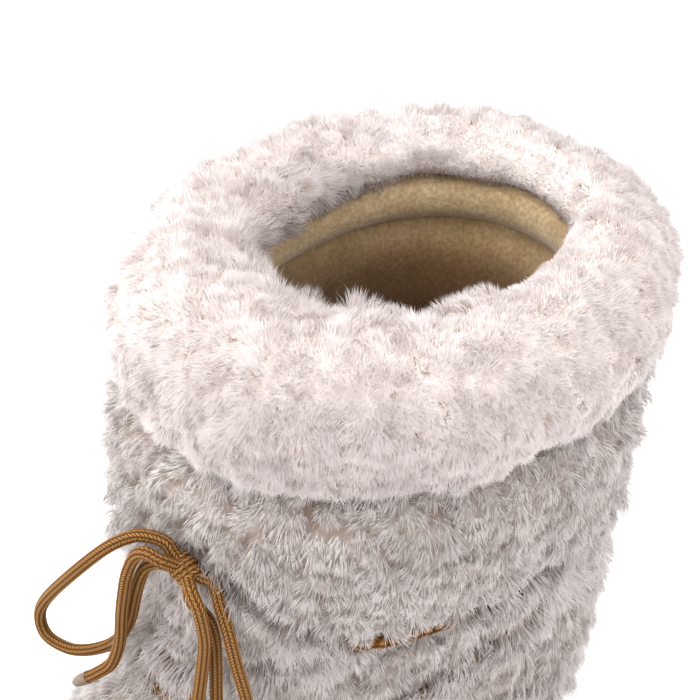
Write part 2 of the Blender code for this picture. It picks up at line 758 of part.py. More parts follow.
def make_material(name):
    colour, roughness = COLOURS[name]
    material = bpy.data.materials.new(name)
    material.use_nodes = True
    shader = material.node_tree.nodes["Principled BSDF"]
    shader.inputs["Base Color"].default_value = colour
    shader.inputs["Roughness"].default_value = roughness
    shader.inputs["Metallic"].default_value = 0.0
    return material


def clear_scene():
    for obj in list(bpy.data.objects):
        bpy.data.objects.remove(obj)


def main():
    clear_scene()
    materials = {name: make_material(name) for name in COLOURS}
    paths = lace_paths()
    make_sole(materials["rubber"])
    make_insole(materials["lining"])
    make_upper(materials["fur"], paths)
    make_cuff(materials["fur"])
    make_band(materials["lining"])
    make_lace_wrap(materials["lace"], paths)
    make_bow(materials["lace"], materials["aglet"])


main()
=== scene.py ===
"""Looks of a fur winter boot: pelts with combed hairs, fleece lining, braided lace, moulded sole.

Tables are in millimetres. +X is the toe, +Y the outer side of this left boot and Z = 0 the floor.
"""

import math

import bpy
import numpy as np
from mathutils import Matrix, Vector
from mathutils.kdtree import KDTree


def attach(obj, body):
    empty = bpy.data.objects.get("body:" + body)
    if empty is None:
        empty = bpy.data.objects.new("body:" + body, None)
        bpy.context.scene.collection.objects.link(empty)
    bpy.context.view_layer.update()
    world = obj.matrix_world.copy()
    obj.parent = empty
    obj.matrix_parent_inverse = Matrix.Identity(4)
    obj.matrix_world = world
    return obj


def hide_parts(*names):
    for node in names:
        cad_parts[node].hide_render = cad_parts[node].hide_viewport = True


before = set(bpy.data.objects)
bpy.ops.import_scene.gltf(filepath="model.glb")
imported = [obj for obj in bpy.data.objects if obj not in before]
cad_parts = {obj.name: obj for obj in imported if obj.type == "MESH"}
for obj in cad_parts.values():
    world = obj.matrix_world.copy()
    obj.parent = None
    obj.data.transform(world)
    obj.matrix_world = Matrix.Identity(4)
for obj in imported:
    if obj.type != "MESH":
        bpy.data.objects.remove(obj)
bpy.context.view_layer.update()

MM = 0.001
PLAN_MIDDLE = (-2.53, 0.94, 0.0)
FINE_STEPS = 720

# Horizontal sections of the fur's base and of the space inside, as in the part's source.
SECTION_COLUMNS = ("z", "back", "front", "heel_half", "waist_half", "ball_half", "bend", "square")
FUR_SECTIONS = [
    (33, -117, 140, 43, 41, 53, -9, 2.9),
    (42, -123, 144, 51, 49, 60, -9, 2.8),
    (54, -127, 139, 57, 55, 63, -9, 2.7),
    (66, -129, 122, 60, 58, 62, -9, 2.6),
    (80, -130, 99, 63, 60, 59, -8, 2.5),
    (94, -131, 76, 65, 60, 55, -7, 2.4),
    (106, -132, 59, 67, 60, 53, -6, 2.4),
    (120, -132, 47, 68, 61, 52, -5, 2.3),
    (138, -132, 43, 69, 63, 53, -4, 2.3),
    (158, -132, 43, 70, 66, 58, -3, 2.3),
    (175, -133, 46, 73, 72, 68, -2, 2.3),
    (195, -135, 46, 76, 77, 76, -1, 2.2),
    (206, -137, 44, 78, 78, 78, 0, 2.2),
    (215, -137, 38, 75, 75, 75, 0, 2.2),
    (221, -136, 30, 71, 71, 71, 0, 2.2),
]
CAVITY_SECTIONS = [
    (33, -104, 126, 30, 29, 42, -8, 2.8),
    (46, -109, 131, 34, 33, 45, -8, 2.7),
    (60, -110, 113, 35, 34, 44, -8, 2.6),
    (72, -109, 93, 37, 36, 43, -7, 2.5),
    (84, -108, 71, 39, 38, 42, -6, 2.4),
    (98, -107, 50, 42, 41, 41, -5, 2.3),
    (114, -107, 34, 44, 43, 41, -3, 2.3),
    (138, -107, 24, 46, 46, 42, -2, 2.2),
    (165, -108, 18, 48, 48, 47, -1, 2.2),
    (221, -116, 8, 49, 49, 49, 0, 2.2),
]
HEEL_END = -0.6
WAIST_AT = -0.12
BALL_AT = 0.38
OUTER_WAIST = 0.4
BASE_Z = 33.3
SECTION_BASE = 33.0
RIM_Z = 221.0
HEEL_TOP = 33.0
BALL_TOP = 27.0
TOE_TOP = 31.0
HEEL_TOP_END = -50.0
BALL_TOP_START = 20.0
BALL_TOP_END = 80.0
TOE_TOP_X = 141.0
TOP_FADE_Z = 85.0

# The cuff: each ring's place outside the space at the rim, its height, how much fur it carries, and
# how far its hairs are combed down the outer side. The lining roll: each ring's place and height.
CUFF_PROFILE_COLUMNS = ("out", "z", "fur", "comb")
CUFF_PROFILE = [
    (9.9, 221.3, 0.0, 0.0),
    (9.9, 236.0, 0.0, 0.0),
    (9.9, 249.9, 0.0, 0.0),
    (3.0, 251.2, 0.0, 0.5),
    (-1.2, 253.4, 0.7, 0.5),
    (-2.6, 257.8, 1.0, 0.4),
    (-0.5, 263.8, 1.0, 0.2),
    (5.8, 267.4, 1.0, 0.15),
    (14.5, 268.2, 1.0, 0.3),
    (22.5, 265.4, 1.0, 0.5),
    (29.0, 260.0, 1.0, 0.7),
    (32.8, 252.5, 1.0, 0.9),
    (34.0, 244.5, 1.0, 1.0),
    (33.0, 236.5, 1.0, 1.0),
    (30.0, 229.0, 1.0, 0.8),
    (25.5, 224.6, 0.8, 0.4),
    (19.5, 221.3, 0.0, 0.0),
]
BAND_PROFILE = [
    (0.3, 223.0),
    (1.4, 229.0),
    (2.4, 233.2),
    (-0.4, 234.8),
    (-2.8, 238.4),
    (-3.2, 243.4),
    (-1.6, 247.8),
    (2.4, 250.0),
    (6.6, 249.4),
    (9.2, 246.0),
    (9.2, 221.3),
]
MOUTH_BACK = 5.5
MOUTH_OUT = 10.0
MOUTH_LOW = 222.0
MOUTH_HIGH = 236.0

# The lace's centre lines, as in the part's source.
CORD = 4.5
LACE_POINTS = {
    "ring": [
        (-131.8, 0, 151), (-130.4, -16.2, 150.8), (-125.1, -31.6, 150.6), (-115.8, -45, 150.4),
        (-103.3, -55.3, 150.2), (-88.5, -62.2, 150), (-72.4, -64, 149.9), (-56, -64, 150),
        (-40, -61.7, 150), (-24.5, -56.4, 150), (-8.7, -52.5, 150.1), (7, -48.8, 152),
        (21.3, -43.7, 157.9), (33.6, -36.5, 165.9), (42.2, -25.6, 174.3), (45.9, -11.3, 180.9),
        (46.2, 4.6, 184.5), (43.6, 20.3, 183.5), (37.2, 32.9, 175.5), (26.7, 40.1, 165.5),
        (14, 44.9, 156.5), (-0.3, 50.1, 150.8), (-15.8, 54.9, 149.6), (-31.5, 59.5, 149.7),
        (-47.5, 62.9, 150), (-63.8, 63.8, 150), (-80, 62.9, 150), (-95.8, 58.7, 150.1),
        (-109.8, 50.4, 150.3), (-121, 38.6, 150.5), (-128.3, 24.1, 150.7), (-131.4, 8.2, 150.9),
    ],
    "left": [
        (5.9, -49.2, 152), (17.9, -43.5, 149.2), (28.6, -35.8, 145.5), (37.1, -26.4, 140.5),
        (43.3, -15.4, 135.3), (46.6, -3.3, 129.8), (45.8, 8.9, 124), (41, 20.5, 118.6),
        (33.1, 31.1, 115.2), (22.5, 39.5, 113.7), (10.3, 45.6, 113.5), (-2.6, 50, 114.4),
        (-15.6, 53.2, 117.2), (-28.1, 56.4, 121.6), (-40.6, 59.4, 126.3), (-53.5, 61.5, 130.2),
        (-65.8, 62.5, 136.2), (-77.6, 62.8, 143), (-89.2, 61.1, 150),
    ],
    "right": [
        (4.7, 48.4, 152), (16.2, 41.4, 148.9), (26.3, 32.9, 144.8), (34.6, 23.2, 139.4),
        (40.7, 12.1, 134), (43.9, 0.3, 127.6), (45.6, -12.1, 121.6), (44, -25, 117.2),
        (36.4, -36, 114.6), (24.7, -43.2, 113.5), (11.6, -47.5, 113.5), (-2, -49.9, 114.3),
        (-15.4, -51.8, 116.9), (-28.1, -55.2, 121.3), (-40.4, -59.2, 126.2), (-53.4, -61.7, 130.2),
        (-65.8, -62.5, 136.2), (-77.8, -63.4, 143), (-89.6, -61.9, 150),
    ],
    "bar": [
        (5.3, -48.8, 114), (17.9, -45.5, 114.1), (29.9, -40.4, 114.3), (40.2, -32.5, 114.8),
        (46.9, -21.5, 115.7), (48.5, -8.7, 117.2), (47.6, 4.3, 117.6), (44.2, 16.8, 116.1),
        (37, 27.5, 115), (27.2, 36.1, 114.4), (16, 42.7, 114.2), (4, 47.9, 114),
    ],
}
KNOT_CENTRE = (52.0, 14.0, 191.2)
EXIT_PLACES = (1.5, 7.0, 10.5)
BOW_EXITS = {
    "loop_left": ((0.36, -0.93, -0.12), (0.16, -0.66, 0.73)),
    "loop_right": ((0.45, 0.88, -0.12), (0.13, 0.36, -0.93)),
    "end_left": ((0.72, -0.30, 0.62),),
    "end_right": ((-0.36, 0.91, -0.20),),
}
BOW_ROUTES = {
    "loop_left": [
        (57.6, 0.4, 186.4), (58.1, -3.4, 177.9), (56.8, -8.5, 165.9), (54.8, -14.7, 152.3),
        (54.4, -21.2, 140.0), (56.3, -26.9, 132.2), (59.9, -35.1, 126.2), (62.6, -43.6, 122.9),
        (64.8, -52.9, 123.9), (64.8, -56.1, 130.9), (66.0, -48.7, 144.7), (69.6, -25.1, 173.6),
        (65.0, -9.9, 192.4), (59.6, -2.6, 198.8), (56.4, 2.6, 200.2),
    ],
    "loop_right": [
        (57.4, 27.2, 186.0), (56.8, 28.0, 179.0), (55.6, 26.9, 170.4), (54.7, 24.1, 158.6),
        (55.3, 21.7, 143.3), (58.7, 23.5, 133.7), (59.7, 28.6, 128.1), (53.7, 28.1, 129.2),
        (49.6, 23.6, 141.8), (49.2, 23.8, 156.8), (49.4, 23.9, 166.1), (50.0, 22.6, 173.3),
        (52.0, 20.2, 178.2),
    ],
    "end_left": [
        (61.4, 6.6, 198.8), (62.2, 2.0, 195.0), (63.4, -1.4, 186.6), (63.5, -4.4, 175.8),
        (61.8, -9.2, 162.6), (60.5, -12.7, 150.7), (59.8, -16.3, 140.2), (60.8, -20.1, 130.9),
        (63.5, -24.6, 125.3), (65.1, -29.4, 120.5),
    ],
    "end_right": [
        (49.6, 27.8, 184.0), (50.3, 32.3, 176.2), (49.2, 34.4, 162.5), (47.5, 36.6, 147.7),
        (47.7, 38.5, 138.2), (49.1, 40.6, 130.2),
    ],
}
LACE_GROOVE = 3.2
LACE_GROOVE_HALF = 7.0
LACE_GROOVE_SLOPE = 5.0
SPLINE_STEPS = 16
KNOT_AXIS = (0.20, -0.84, 0.50)
KNOT_RADIUS = 2.7
KNOT_COILS = 2.3
KNOT_LENGTH = 7.0
KNOT_TUCK = 0.12
KNOT_INNER = 0.3
KNOT_STEPS = 400
TIP_LENGTH = 8.0
TIP_OVERLAP = 1.5
TIP_LOOK_BACK = 8
TIP_PROFILE = [(0.0, 1.02), (0.12, 1.06), (0.5, 1.0), (0.85, 0.8), (1.0, 0.5)]

# The braid: columns of stitches round the cord that slant one way and the other, the length and
# slant of a stitch, and the relief.
BRAID_COLUMNS = 8
STITCH = 1.3
STITCH_SLANT = 1.3
STRAND_RELIEF = 0.4
STITCH_ROUND = 0.6
COLUMN_ROUND = 0.4
COLUMN_LOW = 0.35
BOW_RING = 0.36
BOW_SIDES = 32
WRAP_RING = 1.0
WRAP_SIDES = 14

# The pelts' grids. The wobble is the soft unevenness of padded fur: its size, and for each
# wave its turns round the boot, its waves per metre of height and its phase.
UPPER_ROWS = 132
UPPER_COLUMNS = 280
CAVITY_ROWS = 24
CUFF_ROWS = 90
CUFF_COLUMNS = 260
ROLL_ROWS = 40
ROLL_COLUMNS = 160
SKIRT_HEIGHTS = (176.0, 184.0, 192.0, 200.0, 208.0, 214.0, 218.0, 220.0)
SKIRT_INSET = 0.3
WOBBLE = 0.9
CUFF_WOBBLE = 1.4
SOLE_CALM = 20.0
WOBBLE_WAVES = [(5, 9.0, 0.4), (8, -14.0, 2.1), (11, 21.0, 4.0), (3, 30.0, 1.2)]

# Fur grows in tufts. For each fur: its pieces and the hairs in each, the tufts' spacing, how far the
# pelt swells under one, the hairs' length and width, how a tuft stands (out from the pelt, along its
# comb, and its own way), how far its lower side lies over the next, how much its tone varies, how far
# its hairs splay, mix with the next tuft's and go astray, how wide their roots stand, how far their
# tips gather, and how round the tuft is shaded.
TUFT_COLUMNS = ("pieces", "hairs", "pitch", "swell", "length", "width", "out", "along", "own_way", "shingle",
                "vary", "splay", "blur", "loose", "spread", "gather", "round")
SHAFT_TUFTS = (2, 90000, 8.4, 2.8, 7.0, 0.29, 0.66, 0.68, 0.38, 0.55, 0.34, 0.42, 0.8, 0.11, 0.68, 0.0, 0.5)
CUFF_TUFTS = (2, 86000, 7.2, 1.7, 6.0, 0.25, 0.80, 0.48, 0.4, 0.25, 0.06, 0.25, 1.4, 0.13, 0.85, 0.1, 0.15)
SHAFT_SEEDS = (11, 100)
CUFF_SEEDS = (21, 200)
TUFT_TRIES = 30
TUFT_REACH = 0.8
TUFT_APART = 0.8
TUFT_EDGE = 0.55
EDGE_MOST = 1.5
EDGE_SHORT = 0.15
REACH_VARIES = 0.3
SHINGLE_LONG = 0.7
SHINGLE_SHORT = 0.4
STRAY_SHARE = 0.05
STRAY_LOOSE = 0.34
STRAY_LONG = 1.12
HAIR_LENGTHS = (0.86, 1.06)
HAIR_LEAST = 0.25
HAIR_ARCH = 0.55
HAIR_MIDDLE = 0.55
BLADE_LEAN = 0.8
BLADE_WIDTHS = (0.7, 1.3)
BLADE_FACING = 0.3
SHADE_AXIS = 0.55
SHADE_NORMAL = 0.8
SHADE_OUT = 0.2
TUFT_BRIGHT = 0.9
HAIR_BRIGHT = 0.35
ROOT_SINK = 1.2

# Each hair has one of a few tones, the first of them for the small bare specks in the fur, whose
# dark colour is painted shade where the fur parts. On the hairs' map each tone has a strip: its edges,
# and where root, middle and tip lie along it.
TONES = 48
TONE_MIDDLE = 0.5
TONE_SPREAD = 0.3
PLAIN_TONE = 0.6
STRIP_EDGES = (0.15, 0.85)
STRIP_PLACES = (0.02, 0.5, 0.5, 0.98)
SPECK_TONES = 8
SPECK_SEED = 77
SPECK_AREA = 120.0
SPECK_SIZES = (1.0, 2.4)
SPECK_SHORT = 0.42
SPECK_EDGE = (0.5, 1.0)

# Fur near the lace: between the turns of LACE_SHOWS, in degrees, the ankle run shows and the hairs
# above it are cut short, and elsewhere they hang over it.
LACE_STEP = 1.5
LACE_BARE = 3.2
LACE_HIDDEN = 1.2
LACE_SHOWS = (30.0, 59.0)
LACE_FADE = 3.0
HIDDEN_GROOVE = 0.3
LACE_COVER = 1.8
COVER_REACH = 11.0
CUT_REACH = 16.0
CUT_FROM = 5.0
CUT_OVER = 11.0
CUT_LEAST = 0.03
PELT_BARE = 1.0
PELT_BARE_SHOWN = 3.0
PELT_SLOPE = 4.0
SOLE_FADE = 6.0
RIM_FADE = 8.0
RIM_FILL = 2.5
RIM_FILL_Z = 198.0
RIM_FILL_OVER = 16.0

# The cuff's fur: where its inner side starts, and how its length changes round the mouth's lip and
# towards its lower edge. Below LIP_LINING_TOP its inner side is lining.
INNER_OUT = 8.0
INNER_OVER = 10.0
LOW_OVER = 14.0
LOW_SHORT = 0.55
LINED_OUT = 9.0
LIP_LINING_TOP = 252.5
LIP_TURN = -15.0
LIP_SHORT = 0.12
LIP_LONG = 1.6
BACK_TURN = 150.0
BACK_SHORT = 0.3
AXIS_X = -62.0

# The share of light that goes through a hair, and colours along the hairs, between the tufts and on
# the pelt. The darker roots, the darker pelt and, darkest, the gap colour between the tufts are painted
# shade down in the fur, strongest on the shaft.
HAIR_THROUGH = 0.48
PALETTE_COLUMNS = ("root", "middle", "tip", "gap", "pelt")
SHAFT_PALETTE = [
    (0.44, 0.37, 0.33), (0.85, 0.795, 0.78), (0.98, 0.935, 0.925), (0.21, 0.155, 0.125), (0.56, 0.50, 0.47),
]
CUFF_PALETTE = [
    (0.90, 0.825, 0.795), (0.94, 0.875, 0.86), (0.965, 0.91, 0.90), (0.78, 0.69, 0.64), (0.93, 0.865, 0.845),
]
# The specks' dark colours are painted shade where the fur parts.
SPECK_SHADE_COLOURS = [(0.36, 0.24, 0.15), (0.60, 0.46, 0.35), (0.80, 0.68, 0.58)]

# The lining is painted darker down in the shaft, as painted shade: heights, and the shade between
# them. The other colours go along a noise or along the braid's relief.
LINING_SHADE_HEIGHTS = (190.0, 240.0)
LINING_PAINTED_SHADE = [
    (0.0, (0.12, 0.055, 0.012)), (0.5, (0.33, 0.225, 0.115)),
    (0.85, (0.66, 0.60, 0.51)), (1.0, (0.86, 0.82, 0.76)),
]
FLEECE_COLOURS = [(0.5, (0.36, 0.24, 0.115)), (0.75, (0.55, 0.41, 0.235)), (0.95, (0.74, 0.60, 0.40))]
# The lace's dark grooves are painted shade and its light stitches a painted highlight.
LACE_SHADE_AND_HIGHLIGHT_COLOURS = [(0.0, (0.012, 0.003, 0.0005)), (0.5, (0.095, 0.037, 0.008)), (1.0, (0.41, 0.205, 0.062))]
RUBBER_COLOURS = [(0.3, (0.40, 0.31, 0.22)), (0.7, (0.47, 0.38, 0.28))]
SLEEVE_COLOURS = [(0.3, (0.11, 0.07, 0.04)), (0.7, (0.21, 0.145, 0.09))]
FLOOR_COLOURS = [
    (0.0, (0.9, 0.9, 0.9)), (1.0, (0.93, 0.93, 0.93)),
]

# Camera: where it stands and what it looks at, in the part's frame.
CAMERA_PLACE = (330.31, 388.84, 605.45)
CAMERA_LOOK = (-29.14, -0.45, 228.96)
CAMERA_LENS = 100.286
SENSOR_WIDTH = 36.0

# Lights in metres and watts: name, place, size and power. They look at one point.
LIGHT_LOOK = (0.0, 0.0, 0.15)
LIGHTS = [
    ("top", (0.1, -0.2, 1.6), 1.4, 19.0),
    ("key", (1.2, 0.0, 1.0), 1.2, 8.0),
    ("toe_side", (0.9, -1.0, 0.5), 1.2, 14.0),
    ("fill", (-0.5, 1.3, 0.7), 1.4, 12.0),
]
WORLD_STRENGTH = 0.9
FLOOR_HALF = 6.0


def smooth(t):
    """A soft step from 0 to 1."""
    t = np.clip(t, 0.0, 1.0)
    return t * t * (3.0 - 2.0 * t)


def signed_power(values, power):
    """The values' sizes to a power, with their signs kept."""
    return np.sign(values) * np.abs(values) ** power


def unit(vectors):
    """The vectors at length 1."""
    return vectors / np.maximum(np.linalg.norm(vectors, axis=-1, keepdims=True), 1e-9)


def read_row(table, z):
    """The table's columns at height z, on a smooth curve through its rows."""
    rows = np.array(table, float)
    heights = rows[:, 0]
    slopes = np.gradient(rows, heights, axis=0)
    below = int(np.clip(np.searchsorted(heights, z) - 1, 0, len(heights) - 2))
    span = heights[below + 1] - heights[below]
    t = (z - heights[below]) / span
    start = (1 + 2 * t) * (1 - t) ** 2 * rows[below]
    start_slope = t * (1 - t) ** 2 * span * slopes[below]
    end = t * t * (3 - 2 * t) * rows[below + 1]
    end_slope = t * t * (t - 1) * span * slopes[below + 1]
    return dict(zip(SECTION_COLUMNS, start + start_slope + end + end_slope))


def half_widths(row, along):
    """Half widths on the inner and on the outer side of the foot."""
    waist, ball, heel = row["waist_half"], row["ball_half"], row["heel_half"]
    inner = heel + (waist - heel) * smooth((along - HEEL_END) / (WAIST_AT - HEEL_END))
    inner = inner + (ball - waist) * smooth((along - WAIST_AT) / (BALL_AT - WAIST_AT))
    straight = heel + (ball - heel) * smooth(0.5 + 0.5 * along)
    return inner, straight + (inner - straight) * OUTER_WAIST


def outline(table, z):
    """A fine closed outline of the section at height z, from the toe round the left side."""
    row = read_row(table, z)
    turn = np.linspace(0.0, 2.0 * math.pi, FINE_STEPS, endpoint=False)
    along = signed_power(np.cos(turn), 2.0 / row["square"])
    across = signed_power(np.sin(turn), 2.0 / row["square"])
    middle = (row["front"] + row["back"]) / 2.0
    reach = (row["front"] - row["back"]) / 2.0
    inner, outer = half_widths(row, along)
    x = middle + reach * along
    y = np.where(across > 0.0, outer, inner) * across + row["bend"] * np.maximum(along, 0.0) ** 2
    return np.stack([x, y], axis=-1)


def even_loop(loop, count):
    """The closed loop again, as count points evenly spaced along it."""
    closed = np.concatenate([loop, loop[:1]])
    steps = np.linalg.norm(np.diff(closed, axis=0), axis=1)
    length = np.concatenate([[0.0], np.cumsum(steps)])
    wanted = np.linspace(0.0, length[-1], count, endpoint=False)
    return np.stack([np.interp(wanted, length, closed[:, k]) for k in range(2)], axis=-1)


def inset_loop(loop, inset):
    """The loop moved inwards along its own normals."""
    tangent = unit(np.roll(loop, -1, axis=0) - np.roll(loop, 1, axis=0))
    outward = np.stack([tangent[:, 1], -tangent[:, 0]], axis=-1)
    return loop - outward * inset


def sole_top(x):
    """Height of the sole's upper edge along the boot."""
    to_ball = smooth((x - HEEL_TOP_END) / (BALL_TOP_START - HEEL_TOP_END))
    to_toe = smooth((x - BALL_TOP_END) / (TOE_TOP_X - BALL_TOP_END))
    return HEEL_TOP + (BALL_TOP - HEEL_TOP) * to_ball + (TOE_TOP - BALL_TOP) * to_toe


def section_ring(table, z, count):
    """A ring of points at height z that sinks to the sole's edge near the sole."""
    loop = even_loop(outline(table, z), count)
    near_sole = 1.0 - smooth((z - SECTION_BASE) / (TOP_FADE_Z - SECTION_BASE))
    height = z + (sole_top(loop[:, 0]) - SECTION_BASE) * near_sole
    return np.concatenate([loop, height[:, None]], axis=1)


def spline(points, closed=False):
    """A fine smooth curve through the given points."""
    points = np.array(points, float)
    if closed:
        around = np.concatenate([points[-1:], points, points[:2]])
    else:
        around = np.concatenate([2 * points[:1] - points[1:2], points, 2 * points[-1:] - points[-2:-1]])
    steps = np.linspace(0.0, 1.0, SPLINE_STEPS, endpoint=False)[:, None]
    fine = []
    for a, b, c, d in zip(around[:-3], around[1:-2], around[2:-1], around[3:]):
        bend = 2 * a - 5 * b + 4 * c - d
        twist = 3 * b - a - 3 * c + d
        fine.append(0.5 * (2 * b + (c - a) * steps + bend * steps**2 + twist * steps**3))
    fine.append(around[-2:-1])
    return np.concatenate(fine)


def even_path(fine, step):
    """The fine path again, as points about a step apart."""
    length = np.concatenate([[0.0], np.cumsum(np.linalg.norm(np.diff(fine, axis=0), axis=1))])
    wanted = np.linspace(0.0, length[-1], max(3, round(length[-1] / step)) + 1)
    return np.stack([np.interp(wanted, length, fine[:, k]) for k in range(3)], axis=-1)


def in_metres(points):
    """The points about the part's origin, in metres."""
    return (np.asarray(points, float) - np.array(PLAN_MIDDLE)) * MM


def mesh_piece(name, points, faces, materials, colours=None):
    """A smooth piece from points in millimetres and triangles or quads, riding on the boot."""
    faces = np.asarray(faces, np.int32)
    sides = faces.shape[1]
    mesh = bpy.data.meshes.new(name)
    mesh.vertices.add(len(points))
    mesh.vertices.foreach_set("co", in_metres(points).astype(np.float32).ravel())
    mesh.loops.add(faces.size)
    mesh.loops.foreach_set("vertex_index", faces.ravel())
    mesh.polygons.add(len(faces))
    mesh.polygons.foreach_set("loop_start", np.arange(0, faces.size, sides, dtype=np.int32))
    mesh.update(calc_edges=True)
    mesh.shade_smooth()
    for material in materials:
        mesh.materials.append(material)
    if colours is not None:
        layer = mesh.attributes.new("tint", "FLOAT_COLOR", "POINT")
        rgba = np.concatenate([colours, np.ones((len(colours), 1))], axis=1)
        layer.data.foreach_set("color", rgba.astype(np.float32).ravel())
    piece = bpy.data.objects.new(name, mesh)
    bpy.context.scene.collection.objects.link(piece)
    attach(piece, "root")
    return piece


def ring_faces(rows, columns, closed_rows=True):
    """Quads of a grid that closes on itself round its columns, and if asked along its rows."""
    last = rows if closed_rows else rows - 1
    row, column = np.meshgrid(np.arange(last), np.arange(columns), indexing="ij")
    beside = (column + 1) % columns
    here = row * columns
    above = (row + 1) % rows * columns
    corners = [here + column, here + beside, above + beside, above + column]
    return np.stack([corner.ravel() for corner in corners], axis=1)


def cap_faces(ring, sides, middle):
    """Triangles from a middle point to a ring of a tube."""
    around = np.arange(sides)
    here = ring * sides + around
    beside = ring * sides + (around + 1) % sides
    return np.stack([np.full(sides, middle), here, beside], axis=1)


def tube_faces(rings, sides):
    """Triangles of a tube with closed ends, whose two middle points follow its rings."""
    quads = ring_faces(rings, sides, closed_rows=False)
    count = rings * sides
    ends = [cap_faces(0, sides, count), cap_faces(rings - 1, sides, count + 1)]
    return np.concatenate([quads[:, [0, 1, 2]], quads[:, [0, 2, 3]]] + ends)


def search_tree(places):
    """A tree for finding the nearest place."""
    tree = KDTree(len(places))
    for index, place in enumerate(places):
        tree.insert(Vector(place), index)
    tree.balance()
    return tree


def grid_frame(grid):
    """Outward normals, directions towards the row below and directions along the row."""
    along = np.roll(grid, -1, axis=1) - np.roll(grid, 1, axis=1)
    up = np.gradient(grid, axis=0)
    return unit(np.cross(along, up)), -unit(up), unit(along)


def wobble(grid):
    """Soft unevenness of a padded pelt, from -1 to 1."""
    turn = np.arctan2(grid[..., 1], grid[..., 0] - AXIS_X)
    total = np.zeros(grid.shape[:2])
    for turns, waves, phase in WOBBLE_WAVES:
        total += np.sin(turns * turn + waves * grid[..., 2] * MM * 2.0 * math.pi + phase)
    return total / len(WOBBLE_WAVES) * 2.0


def lace_tree():
    """The lace's runs on the fur, for finding the nearest place on them, the ankle run first."""
    fine = [even_path(spline(LACE_POINTS["ring"], closed=True), LACE_STEP)]
    fine += [even_path(spline(LACE_POINTS[run]), LACE_STEP) for run in ("left", "right", "bar")]
    return search_tree(np.concatenate(fine)), len(fine[0])


def near_lace(points, lace):
    """For each point, how far the lace is, how far below it is, and whether it is the ankle run."""
    tree, ankle = lace
    found = [tree.find(Vector(point)) for point in points]
    gap = np.array([distance for _, _, distance in found])
    below = points[:, 2] - np.array([place.z for place, _, _ in found])
    return gap, below, np.array([index < ankle for _, index, _ in found])


def lace_shows(places, ankle):
    """From 0 to 1, how far the ankle run shows between the tufts at each place."""
    turn = np.degrees(np.arctan2(places[..., 1], places[..., 0] - AXIS_X))
    start = smooth((turn - LACE_SHOWS[0]) / LACE_FADE)
    return ankle * start * smooth((LACE_SHOWS[1] - turn) / LACE_FADE)


def upper_grid(lace):
    """The shaft's and foot's pelt, pressed in under the lace."""
    heights = np.linspace(BASE_Z, RIM_Z, UPPER_ROWS)
    grid = np.array([section_ring(FUR_SECTIONS, z, UPPER_COLUMNS) for z in heights])
    normal = grid_frame(grid)[0]
    gap, _, ankle = [values.reshape(grid.shape[:2]) for values in near_lace(grid.reshape(-1, 3), lace)]
    press = 1.0 - smooth((gap - LACE_GROOVE_HALF) / LACE_GROOVE_SLOPE)
    press = press * (HIDDEN_GROOVE + (1.0 - HIDDEN_GROOVE) * lace_shows(grid, ankle))
    clear = smooth((heights - BASE_Z) / SOLE_CALM)[:, None]
    full = RIM_FILL * smooth((heights - RIM_FILL_Z) / RIM_FILL_OVER)[:, None]
    lift = WOBBLE * wobble(grid) * clear * (1.0 - press) - LACE_GROOVE * press + full
    return grid + normal * lift[..., None]


def cavity_grid():
    """The lining of the space inside, from the rim down."""
    heights = np.linspace(RIM_Z, BASE_Z, CAVITY_ROWS)
    return np.array([section_ring(CAVITY_SECTIONS, z, UPPER_COLUMNS) for z in heights])


def mouth_shift(out, z):
    """How far back a profile's ring moves so that the mouth stands back from the shaft."""
    inner = smooth((MOUTH_OUT - out) / MOUTH_OUT)
    return MOUTH_BACK * inner * smooth((z - MOUTH_LOW) / (MOUTH_HIGH - MOUTH_LOW))


def profile_rings(table, rows, columns):
    """Rings round the space at the rim, along a smooth curve through a profile's rows."""
    fine = spline(table)
    wanted = np.linspace(0, len(fine) - 1, rows)
    steps = np.arange(len(fine))
    profile = np.stack([np.interp(wanted, steps, column) for column in fine.T], axis=-1)
    space = even_loop(outline(CAVITY_SECTIONS, RIM_Z), columns)
    rings = [np.column_stack([inset_loop(space, -row[0]), np.full(columns, row[1])]) for row in profile]
    back = mouth_shift(profile[:, 0], profile[:, 1])
    return np.array(rings) - back[:, None, None] * np.array([1.0, 0.0, 0.0]), profile


def read_grid(values, rows, columns):
    """Values of a grid between its points. The columns run round and round."""
    low = np.clip(np.floor(rows).astype(int), 0, values.shape[0] - 2)
    left = np.floor(columns).astype(int)
    t = np.clip(rows - low, 0.0, 1.0)
    s = columns - left
    if values.ndim == 3:
        t, s = t[:, None], s[:, None]
    left, right = left % values.shape[1], (left + 1) % values.shape[1]
    near = values[low, left] * (1 - s) + values[low, right] * s
    far = values[low + 1, left] * (1 - s) + values[low + 1, right] * s
    return near * (1 - t) + far * t


def cell_areas(grid):
    """The area of each cell of the grid."""
    across = np.linalg.norm(np.roll(grid, -1, axis=1) - grid, axis=-1)[:-1]
    upward = np.linalg.norm(np.diff(grid, axis=0), axis=-1)
    return across * upward


def pick_roots(grid, cover, count, random):
    """Places on the grid for hair roots, even over its area where cover is 1."""
    weight = cell_areas(grid) * (cover[:-1] + cover[1:]) / 2.0
    cells = random.choice(weight.size, size=count, p=weight.ravel() / weight.sum())
    rows = cells // grid.shape[1] + random.uniform(0.0, 1.0, count)
    columns = cells % grid.shape[1] + random.uniform(0.0, 1.0, count)
    return rows, columns


def tuft_places(skin, pitch, random):
    """Rows and columns of tufts strewn over the skin, none closer than about a pitch to another."""
    grid = skin["place"]
    furry = skin["cover"] > 0.0
    area = (cell_areas(grid) * furry[:-1]).sum()
    rows, columns = pick_roots(grid, furry.astype(float), int(TUFT_TRIES * area / pitch**2), random)
    places = read_grid(grid, rows, columns)
    taken = []
    kept = np.zeros((0, 3))
    for index, place in enumerate(places):
        if len(taken) and ((kept - place) ** 2).sum(axis=1).min() < (TUFT_APART * pitch) ** 2:
            continue
        taken.append(index)
        kept = np.concatenate([kept, place[None]])
    return rows[taken], columns[taken]


